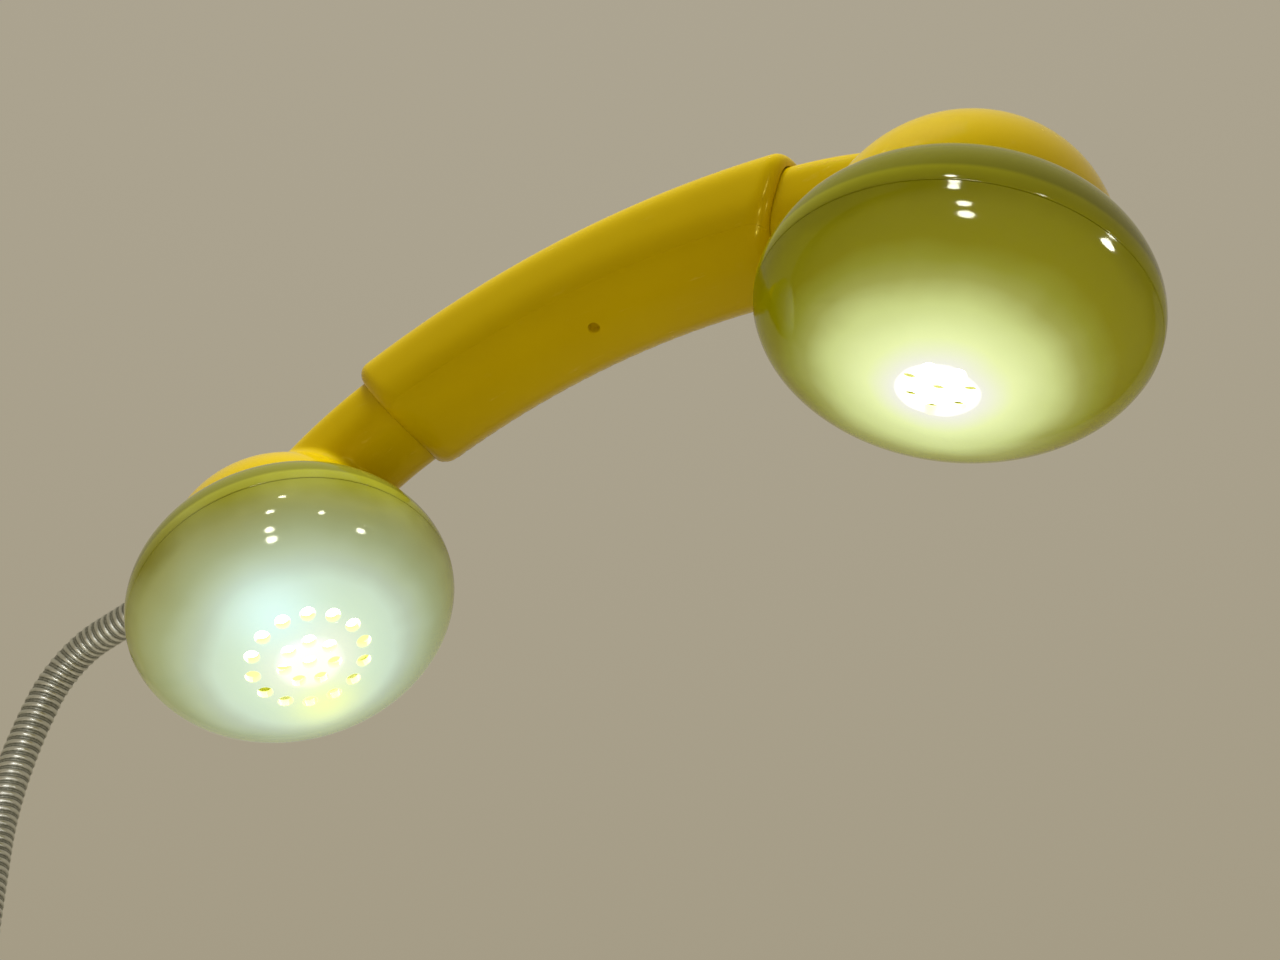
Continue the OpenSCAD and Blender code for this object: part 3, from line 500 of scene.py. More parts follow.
def finishes(g):
    """Every finish of the lamp, by the record's slot name."""
    look = g.look
    return {
        "yellow_shell": abs_yellow(look),
        "green_cap": cap_green(look, "moulded_polycarbonate_olive", look.olive, EAR_LIGHT, 0.17, 3),
        "green_cap_mouth": cap_green(look, "moulded_polycarbonate_pale", look.pale_olive, MOUTH_LIGHT,
                                     0.19, 1.3),
        "arm_steel": wound_steel(look),
        # Free-cutting steel, turned and nickel-plated: fine rings, satin.
        "turned_steel": plain_finish("turned_plated_steel", "B9BAB8", 0.26, 2600, 0.015, 1, (0.15, 0.15, 1)),
        # Brass, thread-cut: warm, lightly dulled crests.
        "stub_brass": plain_finish("cut_brass", "C9A24E", 0.28, 2200, 0.015, 1, (0.2, 0.2, 1)),
        # Nitrile rubber, moulded: matt near-black.
        "black_rubber": plain_finish("moulded_nitrile_rubber", "161616", 0.62, 1800, 0.03),
        # Polyvinyl sheath, extruded: smooth dark grey.
        "lead_sheath": plain_finish("extruded_vinyl_sheath", "1E1E20", 0.42, 700, 0.02),
        # Aluminium, milled: pale with straight cutter marks, and yellowish from the light caught in the cap.
        "heat_metal": plain_finish("milled_aluminium", "D2D4D6", 0.32, 1500, 0.02, 1, (1, 0.08, 1),
                                   ("E8E67A", 0.9)),
        # White solder mask on an aluminium core: smooth, lit by its chips.
        "board_white": plain_finish("white_solder_mask", "E9E9E4", 0.34, 900, 0.01, lit=("FFFDF0", 1.6)),
        # Phosphor-coated light chips: the brightest thing in the lamp.
        "chip_light": plain_finish("lit_phosphor_chip", "FFF6D0", 0.4, 2500, 0.01, lit=("FFFFFA", 24)),
        # Opal acrylic cover, moulded: milky and filled with light.
        "clear_cover": plain_finish("lit_opal_acrylic", "F4F6F2", 0.15, 500, 0.005, lit=("FDFFF6", 7)),
        # Zinc-plated steel screws: bright with a bluish cast.
        "screw_steel": plain_finish("zinc_plated_screw", "A9ADB2", 0.22, 3000, 0.01, 1, (1, 1, 0.3)),
        # Green solder mask on glass laminate: even, half gloss.
        "board_green": plain_finish("green_solder_mask", "0E5A34", 0.3, 1600, 0.02),
        # Ferrite and moulded epoxy bodies: dark and dull.
        "part_dark": plain_finish("moulded_epoxy_dark", "17171A", 0.5, 2400, 0.03),
        # Shrunk sleeve on the capacitors: thin glossy blue film.
        "part_blue": plain_finish("shrunk_sleeve_blue", "1B3A78", 0.25, 1000, 0.01),
        # Natural nylon, moulded: milky and waxy.
        "nylon": plain_finish("moulded_nylon_natural", "E6E2D2", 0.38, 1200, 0.01),
    }


def finish_for(slot):
    return bpy.data.materials[bpy.context.scene["lamp_" + slot]]


def cap_finish(side):
    return finish_for("green_cap" if side > 0 else "green_cap_mouth")


def place_piece(obj, body, slot, *nodes):
    """Ride a finished piece on its body and hide the CAD nodes that it stands for; slot is not used."""
    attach(obj, body)
    if nodes:
        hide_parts(*nodes)
    return obj


# ---- Handle ----

def power(v):
    """Signed power that squares up a circle into the handle's rounded box."""
    return np.sign(v) * np.abs(v) ** SQUARENESS


def section(u, inset, w, h):
    """Handle outline: a rounded box whose sides draw in evenly towards the underside, shrunk by an inset."""
    half = h / 2 - inset
    v = half * power(np.sin(u))
    k = 1 - NARROWING * (half - v) / (2 * half)
    return v, (w / 2 - inset) * k * power(np.cos(u))


def even_steps(n, w, h, low, high):
    """Shares from 0 to 1 of an angle range that cut the outline into n equal lengths."""
    t = np.linspace(0, 1, 4001)
    v, y = section(low + t * (high - low), 0, w, h)
    run = np.concatenate([[0], np.cumsum(np.hypot(np.diff(v), np.diff(y)))])
    return np.interp(np.linspace(0, run[-1], n + 1), run, t)


def bent(centre, radius, a, v, y):
    """Point at angle a and height v over a circle in the XZ plane, y across."""
    return np.stack([centre[0] + (radius + v) * np.sin(a), y, centre[1] + (radius + v) * np.cos(a)], -1)


def arch_centre(g):
    return (0.0, g.h.arch_h - g.arch_r)


def seam_angle(g, inset, v):
    """Outline angle where the handle's side crosses height v, below the middle."""
    return -np.arcsin((np.abs(v) / (g.h.grip_h / 2 - inset)) ** (1 / SQUARENESS))


def grip_stations(g):
    """Outer and inner profile of the grip along its length, as angle and inset.

    From the neck opening round the quarter-circle lip, along the body and round to the other opening; the
    inner profile follows it one wall thickness inside."""
    lip, wall = g.h.lip, g.h.grip_wall
    phi = np.linspace(0, math.pi / 2, 10)
    run, inset = lip * (1 - np.cos(phi)), lip * (1 - np.sin(phi))
    end = g.grip_a * g.arch_r
    body = np.linspace(-end + lip, end - lip, 96)[1:-1]
    run = np.concatenate([run - end, body, (end - run)[::-1]])
    inset = np.concatenate([inset, np.zeros(len(body)), inset[::-1]])
    return (run, inset), (np.clip(run, -end + wall, end - wall), np.maximum(inset, wall))


def grip_faces(g, low_v, across, under):
    """Points of the grip's upper shell or its underside strip on station rows and outline columns."""
    outer, inner = grip_stations(g)
    run = np.concatenate([outer[0], inner[0][::-1]])
    inset = np.concatenate([outer[1], inner[1][::-1]])[:, None]
    seam = seam_angle(g, inset, low_v)
    span = lambda angle: (math.pi - angle, TURN + angle) if under else (angle, math.pi - angle)
    lo, hi = span(seam)
    w, h = g.h.grip_w, g.h.grip_h
    steps = even_steps(across, w, h, *span(float(seam_angle(g, 0.0, low_v))))
    v, y = section(lo + steps[None, :] * (hi - lo), inset, w, h)
    # Towards the underside the end draws back and its lip grows longer; both fade out along the body.
    low = ((h / 2 - v) / h) ** 2
    depth = g.grip_a * g.arch_r - np.abs(run)[:, None]
    lips = depth / g.h.lip
    longer = g.h.lip_extra * np.clip(lips, 0, 1) * np.clip((5 - lips) / 4, 0, 1)
    back = g.h.lip_back * np.clip(1 - lips / 9, 0, 1)
    a = (np.abs(run)[:, None] - low * (longer + back)) * np.sign(run)[:, None] / g.arch_r
    half = len(outer[0])
    k = np.arange(half - 1)
    other = 2 * half - 1 - k
    ends = [np.stack([k, k + 1, other - 1, other], 1) * (across + 1) + c for c in (0, across)]
    ends[0] = ends[0][:, ::-1]
    return a, v, y, ends


class LAMP_OT_grip(Operator):
    """Grip shell, underside strip and its screw"""
    bl_idname = "lamp.grip"
    bl_label = "Grip"

    def execute(self, context):
        g = sizes()
        to_row = hand_place(g)
        centre = arch_centre(g)
        yellow = finish_for("yellow_shell")
        seam_v = -g.h.grip_h / 2 + g.h.strip
        a, v, y, ends = grip_faces(g, seam_v, 88, False)
        p = to_row(bent(centre, g.arch_r, a, v, y))
        shell = build("grip_shell_skin", p, [quads(*a.shape, wrap_rows=True)] + ends, [yellow])
        place_piece(finish(shell, 0.08 * MM), "handset", "yellow_shell", "grip_shell")
        self.strip(g, seam_v - 0.06 * MM, centre, to_row, yellow)
        self.screw(g, centre, to_row)
        return {"FINISHED"}

    def strip(self, g, seam_v, centre, to_row, material):
        """Underside strip with a round blind recess, where rings round a circle replace a block of its grid."""
        across = 36
        a, v, y, ends = grip_faces(g, seam_v, across, True)
        cols = across + 1
        at, r_hole, depth = SCREW_AT, g.h.pit, g.h.pit_deep
        rows = len(a) // 2
        # The block: nine rows and a little over nine millimetres across, round the screw.
        block_half = 4.6 * MM
        i = np.searchsorted(a[:rows, 0], at)
        i0, i1 = i - 5, i + 4
        near = np.flatnonzero(np.abs(y[i] - SCREW_Y) < block_half)
        j0, j1 = near[0], near[-1]
        faces = quads(*a.shape, wrap_rows=True)
        fi, fj = np.divmod(faces[:, 0], cols)
        faces = faces[~((fi >= i0) & (fi < i1) & (fj >= j0) & (fj < j1))]
        edge = np.concatenate([
            np.arange(i0, i1) * cols + j0, i1 * cols + np.arange(j0, j1),
            np.arange(i1, i0, -1) * cols + j1, i0 * cols + np.arange(j1, j0, -1)])
        # Outline height as a function of y on the underside, for the points between block and circle.
        low = np.linspace(math.pi * 1.5 - 1.2, math.pi * 1.5 + 1.2, 2001)
        lv, ly = section(low, 0, g.h.grip_w, g.h.grip_h)
        ex, ey = (a.ravel()[edge] - at) * (g.arch_r - g.h.grip_h / 2), y.ravel()[edge] - SCREW_Y
        turn = np.arctan2(ey, ex)
        n, rings = len(edge), 5
        mix = (np.linspace(0, 1, rings + 1)[1:, None]) ** 0.8
        soft = r_hole + 0.25 * MM
        x = ex * (1 - mix) + soft * np.cos(turn) * mix
        yy = ey * (1 - mix) + soft * np.sin(turn) * mix
        vv = np.interp(yy + SCREW_Y, ly, lv)
        # Rounded lip, wall and floor of the recess.
        floor_v = -g.h.grip_h / 2 + depth
        for radius, down in ((r_hole + 0.1 * MM, 0.08), (r_hole, 0.3), (r_hole, 1.0), (r_hole * 0.5, 1.0)):
            x = np.vstack([x, radius * np.cos(turn)])
            yy = np.vstack([yy, radius * np.sin(turn)])
            vv = np.vstack([vv, vv[rings - 1] * (1 - down) + floor_v * down])
        extra = bent(centre, g.arch_r, at + x / (g.arch_r - g.h.grip_h / 2), vv, yy + SCREW_Y).reshape(-1, 3)
        middle = bent(centre, g.arch_r, np.array([at]), np.array([floor_v]), np.array([SCREW_Y]))
        grid = bent(centre, g.arch_r, a, v, y).reshape(-1, 3)
        base = len(grid)
        k = np.arange(n)
        join = np.stack([edge, edge[(k + 1) % n], base + (k + 1) % n, base + k], 1)
        around = quads(len(x), n, base, wrap_cols=True)
        last = base + (len(x) - 1) * n
        cap = np.stack([last + k, last + (k + 1) % n, np.full(n, base + len(x) * n)], 1)
        p = to_row(np.concatenate([grid, extra, middle]))
        # All new faces must turn the same way as the grid they replace.
        if self.same_turn(faces, join):
            join, around, cap = join[:, ::-1], around[:, ::-1], cap[:, ::-1]
        strip = build("grip_strip_skin", p, [faces, join, around] + ends + [cap], [material])
        place_piece(finish(strip, 0.08 * MM), "handset", "yellow_shell", "grip_strip")

    def same_turn(self, faces, join):
        """True if the joining faces run along a shared edge the same way as the old ones, so need a flip."""
        old = set(map(tuple, np.concatenate([faces[:, [k, (k + 1) % 4]] for k in range(4)]).tolist()))
        return tuple(join[0, :2].tolist()) in old

    def screw(self, g, centre, to_row):
        """Headless screw sunk in the pit: a lathe outline whose socket is pulled into a hexagon."""
        r, socket = g.h.pit - 0.05 * MM, 0.75 * MM
        low, high = -g.h.grip_h / 2 + g.h.pit_deep, -1.6 * MM
        profile = [[0, low + 1.4 * MM], [socket, low + 1.2 * MM], [socket, low + 0.05 * MM],
                   [socket + 0.08 * MM, low], [r - 0.2 * MM, low], [r, low + 0.2 * MM], [r, high], [0, high]]
        flat = TURN / 12
        hexagon = lambda rr, z, t: np.where(
            rr > socket + 0.01 * MM, rr, rr * math.cos(flat) / np.cos((t + flat) % (2 * flat) - flat))
        c, s = math.cos(SCREW_AT), math.sin(SCREW_AT)
        axes = np.array([[c, 0, -s], [0, 1, 0], [s, 0, c]])
        middle = bent(centre, g.arch_r, np.array(SCREW_AT), np.array(0.0), np.array(SCREW_Y))
        obj = turned("grip_screw_body", profile, 60, lambda p: to_row(p @ axes + middle),
                     finish_for("screw_steel"), hexagon, closed=False, sharp=30)
        place_piece(obj, "handset", "screw_steel", "grip_screw")


def housing_skin(g, side):
    """Outer skin of one cup with its neck, in the handset frame, as rows round the neck outline.

    Rows run from the tenon along the neck's bend to just short of the cup, over a Hermite fillet on to the
    ball, then along great circles of the ball to the cap's rim."""
    n = 96
    cx, cz = g.ear_cup if side > 0 else g.mouth_cup
    tilt = g.c.ear_tilt if side > 0 else g.c.mouth_tilt
    w, h = g.neck_w, g.neck_h
    u = even_steps(n, w, h, 0, TURN)[:-1] * TURN
    v, y = section(u, 0, w, h)
    arch = arch_centre(g)
    gap = g.arch_r - g.neck_bend
    bend = (gap * math.sin(g.grip_a), arch[1] + gap * math.cos(g.grip_a))
    ball = np.array([cx, 0, cz])
    # Tenon inside the grip.
    ta = np.linspace(g.grip_a - 7 * MM / g.arch_r, g.grip_a, 5)[:-1, None]
    tenon = bent(arch, g.arch_r, ta + 0 * v, v + 0 * ta, y + 0 * ta)
    # Where each line along the neck comes near the ball, then meets it.
    dense = np.linspace(g.grip_a, math.radians(70), 700)[:, None]
    far = np.linalg.norm(bent(bend, g.neck_bend, dense + 0 * v, v + 0 * dense, y + 0 * dense) - ball, axis=-1)
    far = np.minimum.accumulate(far, 0)
    near_a = np.array([np.interp(-(g.h.cup + g.h.fillet * 0.9), -far[:, i], dense[:, 0]) for i in range(n)])
    meet_a = np.array([np.interp(-g.h.cup, -far[:, i], dense[:, 0]) for i in range(n)])
    s = np.linspace(0, 1, 22)[:, None]
    na = g.grip_a + s * (near_a - g.grip_a)
    neck = bent(bend, g.neck_bend, na, v + 0 * na, y + 0 * na)
    start = neck[-1]
    tangent = np.stack([np.cos(near_a), 0 * near_a, -np.sin(near_a)], -1)
    meet = bent(bend, g.neck_bend, meet_a, v, y) - ball
    meet /= np.linalg.norm(meet, axis=1)[:, None]
    middle = meet.mean(0) / np.linalg.norm(meet.mean(0))
    away = meet - middle * (meet @ middle)[:, None]
    away -= meet * np.einsum("ij,ij->i", away, meet)[:, None]
    away /= np.linalg.norm(away, axis=1)[:, None]
    step = g.h.fillet * 1.15 / g.h.cup
    landing = meet * math.cos(step) + away * math.sin(step)
    leave = away * math.cos(step) - meet * math.sin(step)
    end = ball + landing * g.h.cup
    reach = np.linalg.norm(end - start, axis=1)[:, None]
    t = np.linspace(0, 1, 9)[1:-1, None, None]
    fillet = ((2 * t ** 3 - 3 * t ** 2 + 1) * start + (t ** 3 - 2 * t ** 2 + t) * tangent * reach
              + (3 * t ** 2 - 2 * t ** 3) * end + (t ** 3 - t ** 2) * leave * reach)
    # Great circles from the fillet's end to the rim.
    rim_t = np.arange(n) / n * TURN
    outward = np.array([math.cos(tilt), 0, -math.sin(tilt)])
    forward = np.array([-math.sin(tilt), 0, -math.cos(tilt)])
    drop = g.h.cup_back + g.rear_z
    rim = np.sin(rim_t)[:, None] * outward + np.cos(rim_t)[:, None] * [0, 1, 0]
    rim = (rim * math.sqrt(g.h.cup ** 2 - drop ** 2) + forward * drop) / g.h.cup
    span = np.arccos(np.clip(np.einsum("ij,ij->i", landing, rim), -1, 1))[:, None]
    t = np.linspace(0, 1, 44)[:, None, None]
    arc = (np.sin((1 - t) * span) * landing + np.sin(t * span) * rim) / np.sin(span)
    skin = np.concatenate([tenon, neck, fillet, ball + arc * g.h.cup])
    return skin * [side, 1, 1]


class LAMP_OT_housings(Operator):
    """Both round cups with their necks, and the boss where the arm leaves"""
    bl_idname = "lamp.housings"
    bl_label = "Cups and necks"

    def execute(self, context):
        g = sizes()
        to_row = hand_place(g)
        for side, word in ((1, "ear"), (-1, "mouth")):
            skin = housing_skin(g, side)
            rows, cols = skin.shape[:2]
            faces = quads(rows, cols, wrap_cols=True)
            if side > 0:
                faces = faces[:, ::-1]
            points = skin.reshape(-1, 3)
            obj = build(word + "_cup_and_neck", to_row(points), [faces], [finish_for("yellow_shell")])
            obj = finish(obj, wall=g.h.wall)
            place_piece(obj, "handset", "yellow_shell", word + "_housing")
        r = g.arm_r + 5 * MM
        boss = rounded([[g.arm_r + 0.1 * MM, g.h.cup - 3 * MM], [r, g.h.cup - 3 * MM],
                        [r, g.h.cup + 0.9 * MM], [g.arm_r + 0.1 * MM, g.h.cup + 0.9 * MM]], 0.6 * MM)
        obj = turned("arm_boss", boss, 96, exit_place(g), finish_for("yellow_shell"))
        place_piece(obj, "handset", "yellow_shell")
        return {"FINISHED"}


# ---- Caps ----

def ellipse_r(z, a, b):
    """Radius of an ellipsoid of half-width a and height b at height z."""
    return a * np.sqrt(np.maximum(0, 1 - z * z / (b * b)))


def keep_light(g, obj, side, bulge):
    """Store on each point of a cap what its material needs to glow.

    reach is the distance from the cap's axis over its radius, and climbs past one behind the widest circle;
    inside marks the inner skins and the walls of the holes; cool and warm are round patches beside the
    mouth's holes where the lamp unit's light scatters bluish and yellowish."""
    q = (points_of(obj) - g.hand - [side * g.half, 0, 0]) @ cap_axes(g, side).T
    r = np.hypot(q[:, 0], q[:, 1])
    height = np.where(q[:, 2] > 0, bulge, g.c.back_bulge)
    skin = (r / g.cap_r) ** 2 + (q[:, 2] / height) ** 2
    patch = lambda x, y, size: np.exp(-((q[:, 0] - x * MM) ** 2 + (q[:, 1] - y * MM) ** 2) / (size * MM) ** 2)
    mouth = 1.0 if side < 0 else 0.0
    keep_number(obj, "reach", r / g.cap_r + np.clip(-q[:, 2] / (6 * MM), 0, 1))
    inside = np.clip((0.985 - skin) / 0.03, 0, 1) * (r < g.neck_r)
    keep_number(obj, "inside", inside * (0.5 + 0.5 * mouth))
    keep_number(obj, "cool", mouth * 0.9 * patch(-3, -13, 8))
    keep_number(obj, "warm", mouth * 0.9 * patch(6, 12, 7))


class LAMP_OT_collars(Operator):
    """Green collars behind the seam of both caps"""
    bl_idname = "lamp.collars"
    bl_label = "Collars"

    def execute(self, context):
        g = sizes()
        c = g.c
        for side, word in ((1, "ear"), (-1, "mouth")):
            bulge = c.ear_bulge if side > 0 else c.mouth_bulge
            z = np.linspace(g.rear_z + 0.1 * MM, 0, 34)
            back = np.stack([ellipse_r(z, g.cap_r, c.back_bulge), z], 1)
            z = np.linspace(0, g.seam_z, 8)[1:]
            front = np.stack([ellipse_r(z, g.cap_r, bulge), z], 1)
            z = np.linspace(-1 * MM, g.rear_z + 2 * MM, 14)
            inside = np.stack([ellipse_r(z, g.cap_r - c.wall, c.back_bulge - c.wall), z], 1)
            n, top = g.neck_r, g.neck_top
            # Seat of the rubber ring, then the threaded neck.
            seat_r, seat_z = n + 1.9 * MM, g.seam_z - 1.4 * MM
            lip = np.array([[seat_r, g.seam_z], [seat_r, seat_z], [n, seat_z],
                            [n, top], [n - 2 * MM, top], [n - 2 * MM, -1 * MM]])
            bore = g.spigot_r + 0.08 * MM
            profile = np.concatenate([[[bore, g.rear_z + 0.1 * MM]], back, front, lip, inside,
                                      [[bore, g.rear_z + 2 * MM]]])
            obj = turned(word + "_collar_ring", profile, 160, cap_place(g, side), cap_finish(side), sharp=50)
            finish(obj, 0.08 * MM)
            keep_light(g, obj, side, bulge)
            place_piece(obj, "handset", "green_cap", word + "_collar")
        return {"FINISHED"}


def pierced_disc(radius, rim_n, centres, hole_r, hole_n, spacing):
    """Flat disc with round holes as triangles: constrained Delaunay over the rim, the holes, a ring of
    helpers round each hole and an even triangular field, with the triangles inside holes left out."""
    t = np.arange(rim_n) / rim_n * TURN
    rim = radius * np.stack([np.cos(t), np.sin(t)], 1)
    t = np.arange(hole_n) / hole_n * TURN
    ring = np.stack([np.cos(t), np.sin(t)], 1)
    holes = (centres[:, None] + hole_r * ring).reshape(-1, 2)
    helper = (centres[:, None] + (hole_r + 0.28 * MM) * ring).reshape(-1, 2)
    m = int(radius / spacing) + 2
    i, j = np.meshgrid(np.arange(-m, m + 1), np.arange(-m, m + 1))
    field = np.stack([(i + 0.5 * (j % 2)) * spacing, j * spacing * 0.866], -1).reshape(-1, 2)
    gap = np.linalg.norm(field[:, None] - centres, axis=-1).min(1)
    field = field[(gap > hole_r + 0.55 * MM) & (np.hypot(*field.T) < radius - spacing * 0.5)]
    points = np.concatenate([rim, holes, helper, field])
    k = np.arange(rim_n)
    edges = [np.stack([k, (k + 1) % rim_n], 1)]
    k = np.arange(hole_n)
    for c in range(len(centres)):
        edges.append(rim_n + c * hole_n + np.stack([k, (k + 1) % hole_n], 1))
    scaled = [tuple(p) for p in (points / MM).tolist()]
    out = delaunay_2d_cdt([Vector(p) for p in scaled], np.concatenate(edges).tolist(), [], 0, 1e-5)
    tris = np.array([f for f in out[2]], int)
    where = np.array([list(v) for v in out[0]]) * MM
    middle = where[tris].mean(1)
    inside = (np.linalg.norm(middle[:, None] - centres, axis=-1).min(1) < hole_r * math.cos(math.pi / hole_n))
    return where, tris[~inside]


class LAMP_OT_domes(Operator):
    """Pierced green domes of both caps"""
    bl_idname = "lamp.domes"
    bl_label = "Domes"

    def execute(self, context):
        g = sizes()
        self.dome(g, 1, "ear", g.c.ear_bulge, 1, g.c.ear_turn, 8.4 * MM)
        self.dome(g, -1, "mouth", g.c.mouth_bulge, 2, g.c.mouth_turn, 14.6 * MM)
        return {"FINISHED"}

    def dome(self, g, side, word, bulge, rings, turn, disc_r):
        """Half ellipsoid with an inner skin one wall inside, joined at the rim and through every hole."""
        c = g.c
        a, a2, b2 = g.cap_r, g.cap_r - c.wall, bulge - c.wall
        hole_n, rim_n, r_hole, soft = 40, 160, c.hole / 2, 0.22 * MM
        centres = [[0.0, 0.0]]
        for count, radius in ((7, c.ring_in), (14, c.ring_out))[:rings]:
            t = turn + np.arange(count) / count * TURN
            centres += (radius * np.stack([np.cos(t), np.sin(t)], 1)).tolist()
        centres = np.array(centres)
        outer_h = lambda p: bulge * np.sqrt(1 - (p ** 2).sum(-1) / a ** 2)
        inner_h = lambda p: b2 * np.sqrt(1 - (p ** 2).sum(-1) / a2 ** 2)
        lift = lambda p, h: np.concatenate([p, h(p)[:, None]], 1)
        top, top_f = pierced_disc(disc_r, rim_n, centres, r_hole + soft, hole_n, 0.9 * MM)
        low, low_f = pierced_disc(disc_r, rim_n, centres, r_hole, hole_n, 1.4 * MM)
        # Rings from the disc's edge down to the rim, then rim, bore and inner rings back to the inner disc.
        z0 = g.seam_z + g.seam_gap
        t = np.linspace(math.acos(disc_r / a), math.asin(z0 / bulge), 34)[1:]
        side_out = np.stack([a * np.cos(t), bulge * np.sin(t)], 1)
        bore = g.neck_r + 0.05 * MM
        t = np.linspace(math.acos(bore / a2), math.acos(disc_r / a2), 16)[:-1]
        side_in = np.stack([a2 * np.cos(t), b2 * np.sin(t)], 1)
        round_r = 0.25 * MM
        edge = side_out[-1]
        lip = np.array([[edge[0] - round_r * 0.3, edge[1]], [edge[0] - round_r, z0 - 0.02 * MM]])
        side_out[-1] += [0, round_r * 0.5]
        profile = np.concatenate([side_out, lip, [[bore, z0]], side_in])
        t = np.arange(rim_n) / rim_n * TURN
        r, z = profile[:, :1], np.repeat(profile[:, 1:], rim_n, 1)
        rows = np.stack([r * np.cos(t), r * np.sin(t), z], -1)
        top_p, low_p = lift(top, outer_h), lift(low, inner_h)
        n1, n2 = len(top_p), len(rows) * rim_n
        points = np.concatenate([top_p, rows.reshape(-1, 3), low_p])
        k = np.arange(rim_n)
        first = np.stack([k, (k + 1) % rim_n, n1 + (k + 1) % rim_n, n1 + k], 1)
        base = n1 + n2
        last = n1 + (len(rows) - 1) * rim_n
        final = np.stack([last + k, last + (k + 1) % rim_n, base + (k + 1) % rim_n, base + k], 1)
        # Hole walls: a soft edge at the top, then straight to the inner skin.
        m = len(centres) * hole_n
        idx = np.arange(m)
        nxt = idx // hole_n * hole_n + (idx + 1) % hole_n
        t = np.arange(hole_n) / hole_n * TURN
        ring = np.stack([np.cos(t), np.sin(t)], 1)
        walls = []
        for grow, down in ((soft * 0.35, 0.08 * MM), (0.0, soft)):
            flat = (centres[:, None] + (r_hole + grow) * ring).reshape(-1, 2)
            walls.append(np.concatenate([flat, (outer_h(flat) - down)[:, None]], 1))
        base2 = base + len(low_p)
        points = np.concatenate([points] + walls)
        lines = [rim_n + idx, base2 + idx, base2 + m + idx, base + rim_n + idx]
        nexts = [rim_n + nxt, base2 + nxt, base2 + m + nxt, base + rim_n + nxt]
        wall_f = [np.stack([lines[q], lines[q + 1], nexts[q + 1], nexts[q]], 1) for q in range(3)]
        skins = np.concatenate([first, quads(len(rows), rim_n, n1, wrap_cols=True), final])[:, ::-1]
        faces4 = np.concatenate([skins] + wall_f)
        faces3 = np.concatenate([top_f, low_f[:, ::-1] + base])
        obj = build(word + "_dome_shell", cap_place(g, side)(points), [faces4, faces3], [cap_finish(side)],
                    sharp=30)
        keep_light(g, obj, side, bulge)
        place_piece(obj, word + "_cap", "green_cap", word + "_dome")


# ---- Arm and foot ----

def arm_bends(g):
    """Arm's centre line as (distance so far, slope) pairs, from inside the top ferrule to the foot face."""
    a = g.a
    lean, head, crook_end = math.radians(107.4), math.radians(10.3), math.radians(80)
    rise = -a.exit_rise
    # Each leg is its length, which in a bend is radius times the angle turned, and the slope at its end.
    legs = [(7 * MM, rise), (34.8 * MM * (head - rise), head), (13 * MM, head),
            (a.crook * (crook_end - head), crook_end), (2 * MM, crook_end),
            (78 * MM * (lean - crook_end), lean), (25 * MM, lean),
            (120 * MM * (lean - math.pi / 2), math.pi / 2), (a.drop + a.foot_rise, math.pi / 2)]
    out = [(0.0, rise)]
    for run, slope in legs:
        out.append((out[-1][0] + run, slope))
    return out


def arm_path(g, s):
    """Points and in-plane normals at distances s along the arm; the slope runs evenly between the listed
    distances and the point is the running sum of its direction."""
    knots = np.array(g.bends)
    fine = np.linspace(0, knots[-1, 0], 40001)
    slope = np.interp(fine, knots[:, 0], knots[:, 1])
    step = fine[1]
    dx, dz = -np.cos(slope), -np.sin(slope)
    x = np.concatenate([[0], np.cumsum((dx[1:] + dx[:-1]) / 2 * step)])
    z = np.concatenate([[0], np.cumsum((dz[1:] + dz[:-1]) / 2 * step)])
    c, sn = math.cos(g.a.exit_rise), math.sin(g.a.exit_rise)
    reach = g.ferrule_out - knots[1, 0]
    x += -g.mouth_cup[0] - reach * c
    z += g.mouth_cup[1] + reach * sn
    slope = np.interp(s, knots[:, 0], knots[:, 1])
    p = np.stack([np.interp(s, fine, x), 0 * s, np.interp(s, fine, z)], -1)
    return p, np.stack([-np.sin(slope), 0 * s, np.cos(slope)], -1)


def armour(g, name, s0, s1):
    """Wound armour between two distances: a tube whose radius dips in a groove that climbs one pitch a turn.

    The outer skin is rings square to the arm. Its radius is the outer one less the groove's depth times a dip
    that depends on (distance / pitch - angle / turn): a round wire takes the first 62% of each pitch and a
    thinner, deeper-lying wire the rest. A plain inner skin closes it."""
    a = g.a
    around, rows_a_pitch = 40, 14
    rows = int(round((s1 - s0) / a.pitch * rows_a_pitch))
    s = np.linspace(s0, s1, rows + 1)
    t = np.arange(around) / around * TURN
    phase = (s[:, None] / a.pitch - t / TURN) % 1.0
    # The thick wire's share of a pitch, how much of its half circle shows, and the thin wire's rise.
    wide, shown, thin_rise = 0.62, 0.97, 0.5
    thick = 1 - np.sqrt(np.maximum(0, 1 - (shown * (phase / wide * 2 - 1)) ** 2))
    thin = 1 - thin_rise * np.sqrt(np.maximum(0, 1 - (shown * ((phase - wide) / (1 - wide) * 2 - 1)) ** 2))
    dip = np.where(phase < wide, thick, thin)
    outer = g.arm_r - a.groove * dip
    si = s[::-6] if rows % 6 == 0 else np.linspace(s1, s0, rows // 6 + 1)
    inner = np.full((len(si), around), g.arm_r * 0.7)
    run = np.concatenate([s, si])
    radius = np.concatenate([outer, inner])
    p, normal = arm_path(g, run)
    ring = np.cos(t)[None, :, None] * normal[:, None] + np.sin(t)[None, :, None] * np.array([0, 1.0, 0])
    points = p[:, None] + radius[..., None] * ring + g.hand
    faces = quads(len(run), around, wrap_rows=True, wrap_cols=True)
    obj = build(name, points, [faces], [finish_for("arm_steel")], weld=False, sharp=60)
    # groove holds each point's dip, from which the material paints shade in the grooves; the hidden inner skin
    # gets the full dip.
    keep_number(obj, "groove", np.concatenate([dip, np.ones_like(inner)]).ravel())
    return obj


